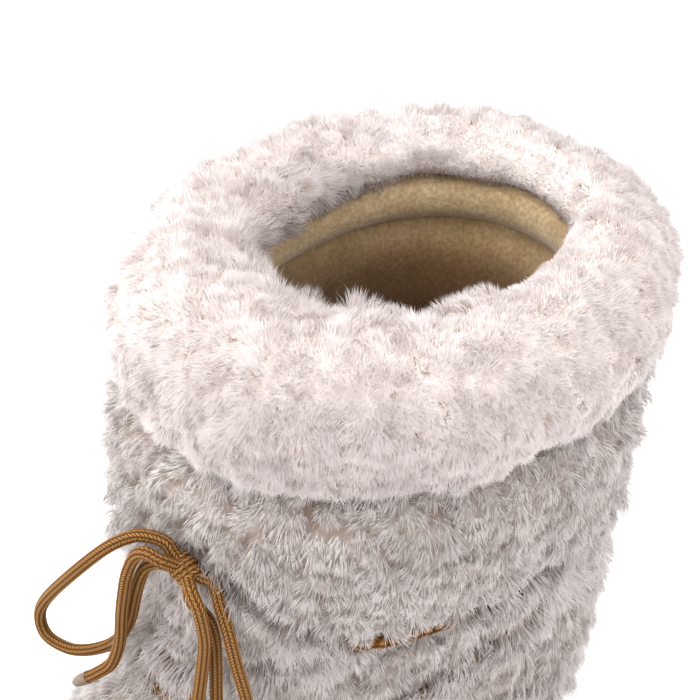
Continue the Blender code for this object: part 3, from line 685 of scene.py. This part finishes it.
def make_tufts(skin, spec, random):
    """The skin's tufts: where they stand, which way, how long and how bright they are."""
    rows, columns = tuft_places(skin, spec["pitch"], random)
    count = len(rows)
    normal = unit(read_grid(skin["normal"], rows, columns))
    comb = read_grid(skin["comb"], rows, columns)
    side = read_grid(skin["side"], rows, columns)
    own = random.uniform(-1.0, 1.0, (count, 4))
    axis = normal * spec["out"] + comb * spec["along"] + side * spec["own_way"] * own[:, 0:1]
    axis = axis + np.cross(normal, side) * spec["own_way"] * own[:, 1:2]
    reach = read_grid(skin["reach"], rows, columns) * (1.0 + REACH_VARIES * own[:, 2])
    place = read_grid(skin["place"], rows, columns)
    return {"place": place, "axis": unit(axis), "reach": reach, "bright": own[:, 3]}


def nearest(points, tree):
    """For each point which of the tree's places is nearest, and how far it is."""
    found = [tree.find(Vector(point)) for point in points]
    return np.array([index for _, index, _ in found]), np.array([distance for _, _, distance in found])


def swell_pelt(skin, cover, tufts, tree, spec):
    """The pelt with a soft swelling under each tuft, and how high on one each place is."""
    grid = skin["place"]
    which, apart = nearest(grid.reshape(-1, 3), tree)
    which, apart = which.reshape(grid.shape[:2]), apart.reshape(grid.shape[:2])
    dome = np.clip(1.0 - (apart / (TUFT_REACH * spec["pitch"])) ** 2, 0.0, 1.0)
    low = lower_side(grid, tufts["place"][which], skin["comb"], spec)
    share = dome * (1.0 - spec["shingle"] * (1.0 - low))
    lift = share * spec["swell"] * tufts["reach"][which] * np.clip(cover, 0.0, 1.0)
    return grid + skin["normal"] * lift[..., None], share


def lower_side(places, middles, comb, spec):
    """From 0 to 1, how far each place is on the side of its tuft that the comb points to."""
    return smooth(0.5 + ((places - middles) * comb).sum(axis=-1) / (TUFT_REACH * spec["pitch"]))


def named_palette(colours):
    """A fur's colours by name."""
    return {name: np.array(colour) for name, colour in zip(PALETTE_COLUMNS, colours)}


def pelt_colours(share, palette):
    """The pelt's colours, with painted shade between the tufts."""
    share = smooth(share)[..., None]
    return (palette["gap"] * (1.0 - share) + palette["pelt"] * share).reshape(-1, 3)


def grow(skin, tufts, tree, spec, random):
    """Hairs: roots, middles, tips, the way their fur faces, and how bright they are."""
    count = spec["hairs"]
    rows, columns = pick_roots(skin["place"], skin["cover"], count, random)
    base = read_grid(skin["place"], rows, columns)
    root = read_grid(skin["pelt"], rows, columns)
    normal = unit(read_grid(skin["normal"], rows, columns))
    which, _ = nearest(base + random.normal(0.0, spec["blur"], (count, 3)), tree)
    aside = base - tufts["place"][which]
    root = root - aside * (1.0 - spec["spread"])
    offset = aside / (TUFT_EDGE * spec["pitch"])
    edge = np.clip(np.linalg.norm(offset, axis=1, keepdims=True), 0.0, EDGE_MOST)
    stray = random.uniform(0.0, 1.0, (count, 1)) < STRAY_SHARE
    loose = np.where(stray, STRAY_LOOSE, spec["loose"])
    axis = tufts["axis"][which]
    heading = unit(axis + offset * spec["splay"] + random.normal(0.0, 1.0, (count, 3)) * loose)
    length = spec["length"] * tufts["reach"][which][:, None] * random.uniform(*HAIR_LENGTHS, (count, 1))
    comb = read_grid(skin["comb"], rows, columns)
    low = lower_side(base, tufts["place"][which], comb, spec)[:, None]
    length = length * (1.0 - EDGE_SHORT * edge**2) * np.where(stray, STRAY_LONG, 1.0)
    length = length * (1.0 + spec["shingle"] * (SHINGLE_LONG * low - SHINGLE_SHORT))
    length = np.maximum(length, HAIR_LEAST * spec["length"])
    speck = near_speck(skin, base, random)
    length = np.where(speck[:, None], length * SPECK_SHORT, length)
    tip = root + heading * length - offset * spec["gather"]
    middle = root + unit(heading + normal * HAIR_ARCH) * length * HAIR_MIDDLE
    facing = unit(axis * SHADE_AXIS + normal * (SHADE_NORMAL - spec["round"]) + offset * spec["round"])
    bright = TUFT_BRIGHT * tufts["bright"][which] + random.normal(0.0, HAIR_BRIGHT, count)
    return {"root": root - normal * ROOT_SINK, "middle": middle, "tip": tip, "normal": normal,
            "facing": facing, "bright": bright, "speck": speck}


def near_speck(skin, root, random):
    """Which hairs stand in the small bare specks that are strewn over the fur."""
    place, cover = skin["place"], skin["cover"]
    count = int((cell_areas(place) * cover[:-1]).sum() / SPECK_AREA)
    strewn = np.random.default_rng(SPECK_SEED)
    specks = read_grid(place, *pick_roots(place, cover, count, strewn))
    sizes = strewn.uniform(*SPECK_SIZES, count)
    which, apart = nearest(root, search_tree(specks))
    return apart < sizes[which] * random.uniform(*SPECK_EDGE, len(root))


def keep_hairs(hairs, keep):
    """Those of the hairs that are kept."""
    return {name: values[keep] for name, values in hairs.items()}


def clear_of_lace(hairs, lace):
    """Drops hairs under the lace, and stops those above it short where the lace shows."""
    gap, below, ankle = near_lace(hairs["root"], lace)
    seen = lace_shows(hairs["root"], ankle) > 0.5
    shows = seen & (below > 0.0) & (gap < CUT_REACH)
    hangs = ~shows & (below > 0.0) & (gap < COVER_REACH)
    cut = np.clip((gap - CUT_FROM) / CUT_OVER, CUT_LEAST, 1.0)
    share = np.where(shows, cut, np.where(hangs, LACE_COVER, 1.0))[:, None]
    hairs["tip"] = hairs["root"] + (hairs["tip"] - hairs["root"]) * share
    hairs["middle"] = hairs["root"] + (hairs["middle"] - hairs["root"]) * share
    return keep_hairs(hairs, gap > np.where(seen, LACE_BARE, LACE_HIDDEN))


def hair_piece(name, hairs, spec, palette, material, random):
    """One piece of narrow blades that taper to both ends, shaded with their tuft so that they look soft."""
    count = len(hairs["root"])
    heading = unit(hairs["tip"] - hairs["root"])
    flat = unit(np.cross(heading, hairs["normal"] + hairs["facing"] * BLADE_FACING))
    lean = random.uniform(-BLADE_LEAN, BLADE_LEAN, (count, 1))
    axis = flat * np.cos(lean) + np.cross(heading, flat) * np.sin(lean)
    half = axis * (spec["width"] / 2.0) * random.uniform(*BLADE_WIDTHS, (count, 1))
    middle = hairs["middle"]
    points = np.stack([hairs["root"], middle - half, middle + half, hairs["tip"]], axis=1)
    first = np.arange(count)[:, None] * 4
    faces = np.concatenate([first + [0, 2, 1], first + [1, 2, 3]], axis=1).reshape(-1, 3)
    level = np.round((hairs["bright"] * TONE_SPREAD + TONE_MIDDLE) * (TONES - 1))
    level = np.clip(level, SPECK_TONES, TONES - 1)
    level = np.where(hairs["speck"], level % SPECK_TONES, level)
    colours = hair_colours(level, palette, spec["vary"])
    piece = mesh_piece(name, points.reshape(-1, 3), faces, [material], colours)
    map_hairs(piece.data, faces, level)
    shading = unit(hairs["facing"] + hairs["normal"] * SHADE_OUT)
    piece.data.normals_split_custom_set_from_vertices(np.repeat(shading, 4, axis=0))


def hair_colours(level, palette, vary):
    """Each hair's colours at its root, middle and tip, by its tone. The darker roots and the specks' dark
    colours are painted shade.
    """
    speck = (level < SPECK_TONES)[:, None]
    tone = (1.0 + vary * (level / (TONES - 1) - PLAIN_TONE))[:, None]
    usual = (palette["root"], palette["middle"], palette["tip"])
    rare = [np.array(colour) * palette["tip"][0] for colour in SPECK_SHADE_COLOURS]
    shades = [np.where(speck, dark, plain) * tone for dark, plain in zip(rare, usual)]
    colours = np.stack([shades[0], shades[1], shades[1], shades[2]], axis=1)
    return np.clip(colours, 0.0, 1.0).reshape(-1, 3)


def map_hairs(mesh, faces, level):
    """A map in which hairs of one tone lie on the same strip, root to tip."""
    left, right = [(level + edge) / TONES for edge in STRIP_EDGES]
    across = np.stack([(left + right) / 2.0, left, right, (left + right) / 2.0], axis=1).ravel()
    along = np.tile(STRIP_PLACES, len(level))
    corners = faces.ravel()
    places = np.stack([across[corners], along[corners]], axis=1)
    layer = mesh.uv_layers.new(name="OFBake")
    layer.data.foreach_set("uv", places.astype(np.float32).ravel())


def named_spec(values):
    """A fur's row of the tuft table by name."""
    return dict(zip(TUFT_COLUMNS, values))


def line_rows(piece, columns, lined):
    """Gives those rows of the piece's faces that are lined its second material."""
    row = np.arange(len(piece.data.polygons)) // columns
    piece.data.polygons.foreach_set("material_index", lined[row].astype(np.int32))


def make_upper(materials, lace):
    """The upper's pelt and lining as one closed shell, and its fur."""
    base = upper_grid(lace)
    normal, down, side = grid_frame(base)
    cover = np.ones(base.shape[:2])
    skin = {"place": base, "normal": normal, "comb": down, "side": side, "cover": cover, "reach": cover}
    spec = named_spec(SHAFT_TUFTS)
    tuft_seed, hair_seed = SHAFT_SEEDS
    tufts = make_tufts(skin, spec, np.random.default_rng(tuft_seed))
    tree = search_tree(tufts["place"])
    gap, _, ankle = [values.reshape(base.shape[:2]) for values in near_lace(base.reshape(-1, 3), lace)]
    bare = PELT_BARE + PELT_BARE_SHOWN * lace_shows(base, ankle)
    height = base[..., 2]
    open_pelt = smooth((gap - bare) / PELT_SLOPE) * smooth((height - BASE_Z) / SOLE_FADE)
    open_pelt = open_pelt * smooth((RIM_Z - height) / RIM_FADE)
    fur, share = swell_pelt(skin, open_pelt, tufts, tree, spec)
    skin["pelt"] = fur
    cavity = cavity_grid()
    grid = np.concatenate([fur, cavity])
    palette = named_palette(SHAFT_PALETTE)
    inside = np.tile(palette["pelt"], (cavity.shape[0] * cavity.shape[1], 1))
    colours = np.concatenate([pelt_colours(share, palette), inside])
    shell = mesh_piece("upper_shell", grid.reshape(-1, 3), ring_faces(len(grid), UPPER_COLUMNS),
                       [materials["pelt"], materials["lining"]], colours)
    line_rows(shell, UPPER_COLUMNS, np.arange(len(grid)) >= UPPER_ROWS - 1)
    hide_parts("upper")
    for index in range(spec["pieces"]):
        random = np.random.default_rng(hair_seed + index)
        hairs = clear_of_lace(grow(skin, tufts, tree, spec, random), lace)
        hair_piece(f"shaft_fur_{index + 1}", hairs, spec, palette, materials["hair"], random)


def cuff_reach(rings, profile):
    """How long the cuff's fur is: short on the far inner lip and longer on the near one."""
    inner = smooth((INNER_OUT - profile[:, 0]) / INNER_OVER)[:, None]
    turn = np.degrees(np.arctan2(rings[..., 1], rings[..., 0] - AXIS_X))
    toward = 0.5 + 0.5 * np.cos(np.radians(turn - LIP_TURN))
    lip = LIP_SHORT + (LIP_LONG - LIP_SHORT) * toward
    low = smooth((rings[..., 2] - RIM_Z) / LOW_OVER)
    back = 0.5 + 0.5 * np.cos(np.radians(turn - BACK_TURN))
    outer = 1.0 - BACK_SHORT * smooth(back) * (1.0 - inner)
    return (1.0 + (lip - 1.0) * inner) * outer * (LOW_SHORT + (1.0 - LOW_SHORT) * low)


def make_cuff(materials):
    """The cuff's pelt and its fur."""
    rings, profile = profile_rings(CUFF_PROFILE[::-1], CUFF_ROWS, CUFF_COLUMNS)
    normal, down, side = grid_frame(rings)
    fur = np.clip(profile[:, CUFF_PROFILE_COLUMNS.index("fur")], 0.0, 1.0)
    rings = rings + normal * (WOBBLE * CUFF_WOBBLE * wobble(rings) * fur[:, None])[..., None]
    comb = down * profile[:, CUFF_PROFILE_COLUMNS.index("comb")][:, None, None]
    cover = np.repeat(fur[:, None], CUFF_COLUMNS, axis=1)
    skin = {"place": rings, "normal": normal, "comb": comb, "side": side, "cover": cover,
            "reach": cuff_reach(rings, profile)}
    spec = named_spec(CUFF_TUFTS)
    palette = named_palette(CUFF_PALETTE)
    tuft_seed, hair_seed = CUFF_SEEDS
    tufts = make_tufts(skin, spec, np.random.default_rng(tuft_seed))
    tree = search_tree(tufts["place"])
    swollen, share = swell_pelt(skin, cover, tufts, tree, spec)
    skin["pelt"] = swollen
    pelt = mesh_piece("cuff_pelt", swollen.reshape(-1, 3), ring_faces(CUFF_ROWS, CUFF_COLUMNS),
                      [materials["pelt"], materials["lining"]], pelt_colours(share, palette))
    under = (profile[:, 0] < LINED_OUT) & (profile[:, 1] < LIP_LINING_TOP)
    line_rows(pelt, CUFF_COLUMNS, under)
    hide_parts("fur_cuff")
    for index in range(spec["pieces"]):
        random = np.random.default_rng(hair_seed + index)
        hairs = grow(skin, tufts, tree, spec, random)
        hair_piece(f"cuff_fur_{index + 1}", hairs, spec, palette, materials["hair"], random)


def make_lining(materials):
    """The padded roll of fleece inside the cuff."""
    rings, _ = profile_rings(BAND_PROFILE, ROLL_ROWS, ROLL_COLUMNS)
    walls = [section_ring(CAVITY_SECTIONS, z, ROLL_COLUMNS) for z in SKIRT_HEIGHTS]
    skirt = [np.column_stack([inset_loop(wall[:, :2], SKIRT_INSET), wall[:, 2]]) for wall in walls]
    rings = np.concatenate([skirt, rings])
    roll = mesh_piece("lining_roll", rings.reshape(-1, 3), ring_faces(len(rings), ROLL_COLUMNS)[:, ::-1],
                      [materials["lining"]])
    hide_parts("lining_band")


def path_frames(path):
    """Two directions across each point of a path, which don't twist along it."""
    along = unit(np.gradient(path, axis=0))
    start = np.cross(along[0], [0.0, 0.0, 1.0])
    across = [unit(start if np.linalg.norm(start) > 0.1 else np.cross(along[0], [0.0, 1.0, 0.0]))]
    for direction in along[1:]:
        across.append(unit(across[-1] - direction * (across[-1] @ direction)))
    across = np.array(across)
    return across, np.cross(along, across)


def braid_height(length, turn):
    """The braid's relief, 0 in its grooves and 1 on its stitches."""
    place = turn * BRAID_COLUMNS / (2.0 * math.pi)
    across = place - np.floor(place)
    lean = np.where(np.floor(place) % 2 == 0, 1.0, -1.0)
    phase = length / STITCH + lean * across * STITCH_SLANT + 0.5 * (lean > 0)
    stitch = np.abs(np.sin(math.pi * phase)) ** STITCH_ROUND
    column = np.sin(math.pi * np.clip(across, 0.0, 1.0)) ** COLUMN_ROUND
    return stitch * (COLUMN_LOW + (1.0 - COLUMN_LOW) * column)


def tube_points(path, turn, radius):
    """Rings of points round a path, at the given turns and distances."""
    across, upward = path_frames(path)
    outward = across[:, None] * np.cos(turn)[None, :, None] + upward[:, None] * np.sin(turn)[None, :, None]
    return (path[:, None] + outward * radius[..., None]).reshape(-1, 3)


def braid_mesh(path, sides, closed=False):
    """Points, faces and colours of a braided cord along a path; the colours carry the relief, for painted
    shade in the grooves and a painted highlight on the stitches.
    """
    length = np.concatenate([[0.0], np.cumsum(np.linalg.norm(np.diff(path, axis=0), axis=1))])
    turn = np.linspace(0.0, 2.0 * math.pi, sides, endpoint=False)
    relief = braid_height(length[:, None], turn[None, :])
    points = tube_points(path, turn, CORD / 2.0 - STRAND_RELIEF * (1.0 - relief))
    # The relief as colour, for painted shade in the grooves and a painted highlight on the stitches.
    colours = np.repeat(relief.reshape(-1, 1), 3, axis=1)
    if closed:
        return points, ring_faces(len(path), sides), colours
    points = np.concatenate([points, path[:1], path[-1:]])
    colours = np.concatenate([colours, np.zeros((2, 3))])
    return points, tube_faces(len(path), sides), colours


def make_wrap(materials):
    """The lace round the ankle and over the instep."""
    runs = {"ring": even_path(spline(LACE_POINTS["ring"], closed=True), WRAP_RING)[:-1]}
    for run in ("left", "right", "bar"):
        runs[run] = even_path(spline(LACE_POINTS[run]), WRAP_RING)
    for run, path in runs.items():
        points, faces, colours = braid_mesh(path, WRAP_SIDES, closed=run == "ring")
        piece = mesh_piece("lace_run_" + run, points, faces, [materials["lace"]], colours)
        if run == "ring":
            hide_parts("lace_wrap")


def exit_points(way):
    """Points from inside the knot to where a cord has left it."""
    return [np.array(KNOT_CENTRE) + unit(np.array(way)) * place for place in EXIT_PLACES]


def bow_path(run):
    """The centre line of one cord of the bow."""
    ways = BOW_EXITS[run]
    points = exit_points(ways[0]) + BOW_ROUTES[run]
    if len(ways) > 1:
        points = points + exit_points(ways[1])[::-1]
    return even_path(spline(points), BOW_RING)


def bow_cord(name, run, materials):
    """One cord of the bow, as a braided tube."""
    path = bow_path(run)
    points, faces, colours = braid_mesh(path, BOW_SIDES)
    piece = mesh_piece(name, points, faces, [materials["lace"]], colours)
    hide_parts("lace_" + run)
    return piece, path


def make_tip(name, path, material):
    """The shrunk sleeve on a lace's end."""
    heading = unit(path[-1] - path[-TIP_LOOK_BACK])
    start = path[-1] - heading * TIP_OVERLAP
    reach = TIP_LENGTH + TIP_OVERLAP
    stations = np.array([start + heading * reach * share for share, _ in TIP_PROFILE])
    turn = np.linspace(0.0, 2.0 * math.pi, BOW_SIDES, endpoint=False)
    radius = np.array([share for _, share in TIP_PROFILE]) * CORD / 2.0
    points = tube_points(stations, turn, radius[:, None])
    points = np.concatenate([points, stations[:1], stations[-1:]])
    return mesh_piece(name, points, tube_faces(len(stations), BOW_SIDES), [material])


def make_knot(materials):
    """The knot: the cord coiled round the bow's strands, its ends tucked in."""
    share = np.linspace(0.0, 1.0, KNOT_STEPS)
    turn = 2.0 * math.pi * KNOT_COILS * share
    tucked = smooth(share / KNOT_TUCK) * smooth((1.0 - share) / KNOT_TUCK)
    axis = unit(np.array(KNOT_AXIS))
    across = unit(np.cross(axis, [0.0, 0.0, 1.0]))
    upward = np.cross(across, axis)
    radius = (KNOT_RADIUS * (KNOT_INNER + (1.0 - KNOT_INNER) * tucked))[:, None]
    place = radius * (across * np.cos(turn)[:, None] + upward * np.sin(turn)[:, None])
    place = place + axis * (KNOT_LENGTH * (share - 0.5))[:, None]
    path = even_path(np.array(KNOT_CENTRE) + place, BOW_RING)
    points, faces, colours = braid_mesh(path, BOW_SIDES)
    knot = mesh_piece("lace_turns", points, faces, [materials["lace"]], colours)
    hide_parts("lace_knot")
    return knot


def make_bow(materials):
    """The knot, its two loops and its two ends."""
    knot = make_knot(materials)
    for run, extra in (("loop_left", [knot]), ("loop_right", [])):
        piece, path = bow_cord("bow_" + run, run, materials)
    for side in ("left", "right"):
        piece, path = bow_cord("bow_end_" + side, "end_" + side, materials)
        tip = make_tip("bow_tip_" + side, path, materials["aglet"])
        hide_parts("lace_tip_" + side)


def new_material(name):
    """A material with its tree and its shader."""
    material = bpy.data.materials.new(name)
    material.use_nodes = True
    tree = material.node_tree
    return material, tree, tree.nodes["Principled BSDF"]


def noise(tree, scale, detail, roughness):
    """Noise in the object's own metres."""
    place = tree.nodes.new("ShaderNodeTexCoord")
    texture = tree.nodes.new("ShaderNodeTexNoise")
    texture.inputs["Scale"].default_value = scale
    texture.inputs["Detail"].default_value = detail
    texture.inputs["Roughness"].default_value = roughness
    tree.links.new(place.outputs["Object"], texture.inputs["Vector"])
    return texture.outputs["Fac"]


def ramp(tree, value, stops):
    """Colours along a value."""
    node = tree.nodes.new("ShaderNodeValToRGB")
    elements = node.color_ramp.elements
    while len(elements) < len(stops):
        elements.new(0.5)
    for element, (position, colour) in zip(elements, stops):
        element.position = position
        element.color = (*colour, 1.0)
    tree.links.new(value, node.inputs["Fac"])
    return node.outputs["Color"]


def paint(tree, shader, value, stops):
    """Colours the surface along a value."""
    tree.links.new(ramp(tree, value, stops), shader.inputs["Base Color"])


def height_share(tree, low, high):
    """How high a place is between two heights in millimetres, from 0 to 1."""
    place = tree.nodes.new("ShaderNodeTexCoord")
    parts = tree.nodes.new("ShaderNodeSeparateXYZ")
    share = tree.nodes.new("ShaderNodeMapRange")
    share.inputs["From Min"].default_value = low * MM
    share.inputs["From Max"].default_value = high * MM
    tree.links.new(place.outputs["Object"], parts.inputs["Vector"])
    tree.links.new(parts.outputs["Z"], share.inputs["Value"])
    return share.outputs["Result"]


def add_bump(tree, shader, height, strength, distance):
    """Fine relief in metres."""
    node = tree.nodes.new("ShaderNodeBump")
    node.inputs["Strength"].default_value = strength
    node.inputs["Distance"].default_value = distance
    tree.links.new(height, node.inputs["Height"])
    tree.links.new(node.outputs["Normal"], shader.inputs["Normal"])


def tint_of(tree):
    """The colours that the mesh carries."""
    node = tree.nodes.new("ShaderNodeAttribute")
    node.attribute_name = "tint"
    return node


def hair_material():
    """Fur: taupe roots, darker as painted shade down in the fur, to nearly white tips."""
    material, tree, shader = new_material("fur_hair")
    tint = tint_of(tree).outputs["Color"]
    tree.links.new(tint, shader.inputs["Base Color"])
    shader.inputs["Roughness"].default_value = 0.8
    shader.inputs["Specular IOR Level"].default_value = 0.1
    through = tree.nodes.new("ShaderNodeBsdfTranslucent")
    tree.links.new(tint, through.inputs["Color"])
    both = tree.nodes.new("ShaderNodeMixShader")
    both.inputs["Fac"].default_value = HAIR_THROUGH
    tree.links.new(shader.outputs["BSDF"], both.inputs[1])
    tree.links.new(through.outputs["BSDF"], both.inputs[2])
    tree.links.new(both.outputs["Shader"], tree.nodes["Material Output"].inputs["Surface"])
    return material


def pelt_material():
    """Matted hair near the roots, with painted shade between the tufts."""
    material, tree, shader = new_material("fur_pelt")
    tree.links.new(tint_of(tree).outputs["Color"], shader.inputs["Base Color"])
    shader.inputs["Roughness"].default_value = 0.95
    shader.inputs["Specular IOR Level"].default_value = 0.1
    add_bump(tree, shader, noise(tree, scale=420.0, detail=6.0, roughness=0.7), 0.5, 0.0012)
    return material


def lining_material():
    """Short fleece: curled nap, lighter on its tips, with painted shade darkening it down in the shaft."""
    material, tree, shader = new_material("fleece")
    nap = noise(tree, scale=620.0, detail=5.0, roughness=0.7)
    patches = noise(tree, scale=60.0, detail=3.0, roughness=0.5)
    blend = tree.nodes.new("ShaderNodeMath")
    blend.operation = "ADD"
    half = tree.nodes.new("ShaderNodeMath")
    half.operation = "MULTIPLY"
    half.inputs[1].default_value = 0.5
    tree.links.new(patches, half.inputs[0])
    tree.links.new(nap, blend.inputs[0])
    tree.links.new(half.outputs["Value"], blend.inputs[1])
    # Painted shade: the fleece's colours are multiplied darker down in the shaft.
    painted_shade = tree.nodes.new("ShaderNodeMix")
    painted_shade.data_type = "RGBA"
    painted_shade.blend_type = "MULTIPLY"
    painted_shade.inputs["Factor"].default_value = 1.0
    tree.links.new(ramp(tree, blend.outputs["Value"], FLEECE_COLOURS), painted_shade.inputs[6])
    tree.links.new(ramp(tree, height_share(tree, *LINING_SHADE_HEIGHTS), LINING_PAINTED_SHADE), painted_shade.inputs[7])
    tree.links.new(painted_shade.outputs[2], shader.inputs["Base Color"])
    shader.inputs["Roughness"].default_value = 0.9
    shader.inputs["Sheen Weight"].default_value = 0.4
    add_bump(tree, shader, nap, 0.5, 0.0008)
    return material


def lace_material():
    """Braided cord: camel strands, with painted shade in the grooves and a painted highlight on the
    stitches.
    """
    material, tree, shader = new_material("braid")
    paint(tree, shader, tint_of(tree).outputs["Fac"], LACE_SHADE_AND_HIGHLIGHT_COLOURS)
    shader.inputs["Roughness"].default_value = 0.75
    shader.inputs["Specular IOR Level"].default_value = 0.15
    fibres = noise(tree, scale=2600.0, detail=3.0, roughness=0.6)
    add_bump(tree, shader, fibres, 0.35, 0.0004)
    return material


def rubber_material():
    """Moulded rubber with a fine matt grain."""
    material, tree, shader = new_material("moulded_rubber")
    grain = noise(tree, scale=1500.0, detail=3.0, roughness=0.6)
    cloud = noise(tree, scale=18.0, detail=4.0, roughness=0.6)
    paint(tree, shader, cloud, RUBBER_COLOURS)
    shader.inputs["Roughness"].default_value = 0.55
    add_bump(tree, shader, grain, 0.35, 0.0004)
    return material


def aglet_material():
    """A shrunk sleeve over the braid."""
    material, tree, shader = new_material("lace_sleeve")
    cloud = noise(tree, scale=900.0, detail=2.0, roughness=0.5)
    paint(tree, shader, cloud, SLEEVE_COLOURS)
    shader.inputs["Roughness"].default_value = 0.4
    add_bump(tree, shader, cloud, 0.2, 0.0003)
    return material


def make_materials():
    """All the materials by name."""
    return {
        "hair": hair_material(),
        "pelt": pelt_material(),
        "lining": lining_material(),
        "lace": lace_material(),
        "rubber": rubber_material(),
        "aglet": aglet_material(),
    }


def dress_nodes(materials):
    """Better materials on the CAD nodes that stay."""
    for node, material in (("outsole", "rubber"), ("insole", "lining")):
        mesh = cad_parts[node].data
        mesh.materials.clear()
        mesh.materials.append(materials[material])


def make_floor():
    """A plain pale floor."""
    mesh = bpy.data.meshes.new("floor")
    half = FLOOR_HALF
    corners = [(-half, -half, 0), (half, -half, 0), (half, half, 0), (-half, half, 0)]
    mesh.from_pydata(corners, [], [(0, 1, 2, 3)])
    floor = bpy.data.objects.new("floor", mesh)
    bpy.context.scene.collection.objects.link(floor)
    material, tree, shader = new_material("floor_white")
    cloud = noise(tree, scale=3.0, detail=2.0, roughness=0.5)
    paint(tree, shader, cloud, FLOOR_COLOURS)
    shader.inputs["Roughness"].default_value = 0.9
    mesh.materials.append(material)


def add_light(name, place, size, power):
    """A square soft light."""
    light = bpy.data.lights.new(name, "AREA")
    light.shape = "SQUARE"
    light.size = size
    light.energy = power
    lamp = bpy.data.objects.new(name, light)
    lamp.location = place
    lamp.rotation_euler = (Vector(LIGHT_LOOK) - Vector(place)).to_track_quat("-Z", "Y").to_euler()
    bpy.context.scene.collection.objects.link(lamp)


def make_stage():
    """Camera, floor and soft studio light."""
    make_floor()
    scene = bpy.context.scene
    place = Vector(CAMERA_PLACE) * MM
    look = Vector(CAMERA_LOOK) * MM
    data = bpy.data.cameras.new("camera")
    data.lens = CAMERA_LENS
    data.sensor_width = SENSOR_WIDTH
    camera = bpy.data.objects.new("camera", data)
    camera.location = place
    camera.rotation_euler = (look - place).to_track_quat("-Z", "Y").to_euler()
    scene.collection.objects.link(camera)
    scene.camera = camera
    for name, stand, size, power in LIGHTS:
        add_light(name, stand, size, power)
    world = bpy.data.worlds.new("studio")
    world.use_nodes = True
    background = world.node_tree.nodes["Background"]
    background.inputs["Color"].default_value = (1.0, 1.0, 1.0, 1.0)
    background.inputs["Strength"].default_value = WORLD_STRENGTH
    scene.world = world
    scene.view_settings.view_transform = "Standard"


def main():
    """Dresses the boot and sets the stage."""
    make_stage()
    materials = make_materials()
    make_bow(materials)
    make_wrap(materials)
    make_upper(materials, lace_tree())
    make_cuff(materials)
    make_lining(materials)
    dress_nodes(materials)


def plain(corners):
    """A box as plain lists of numbers."""
    return [[float(v) for v in corner] for corner in corners]


main()
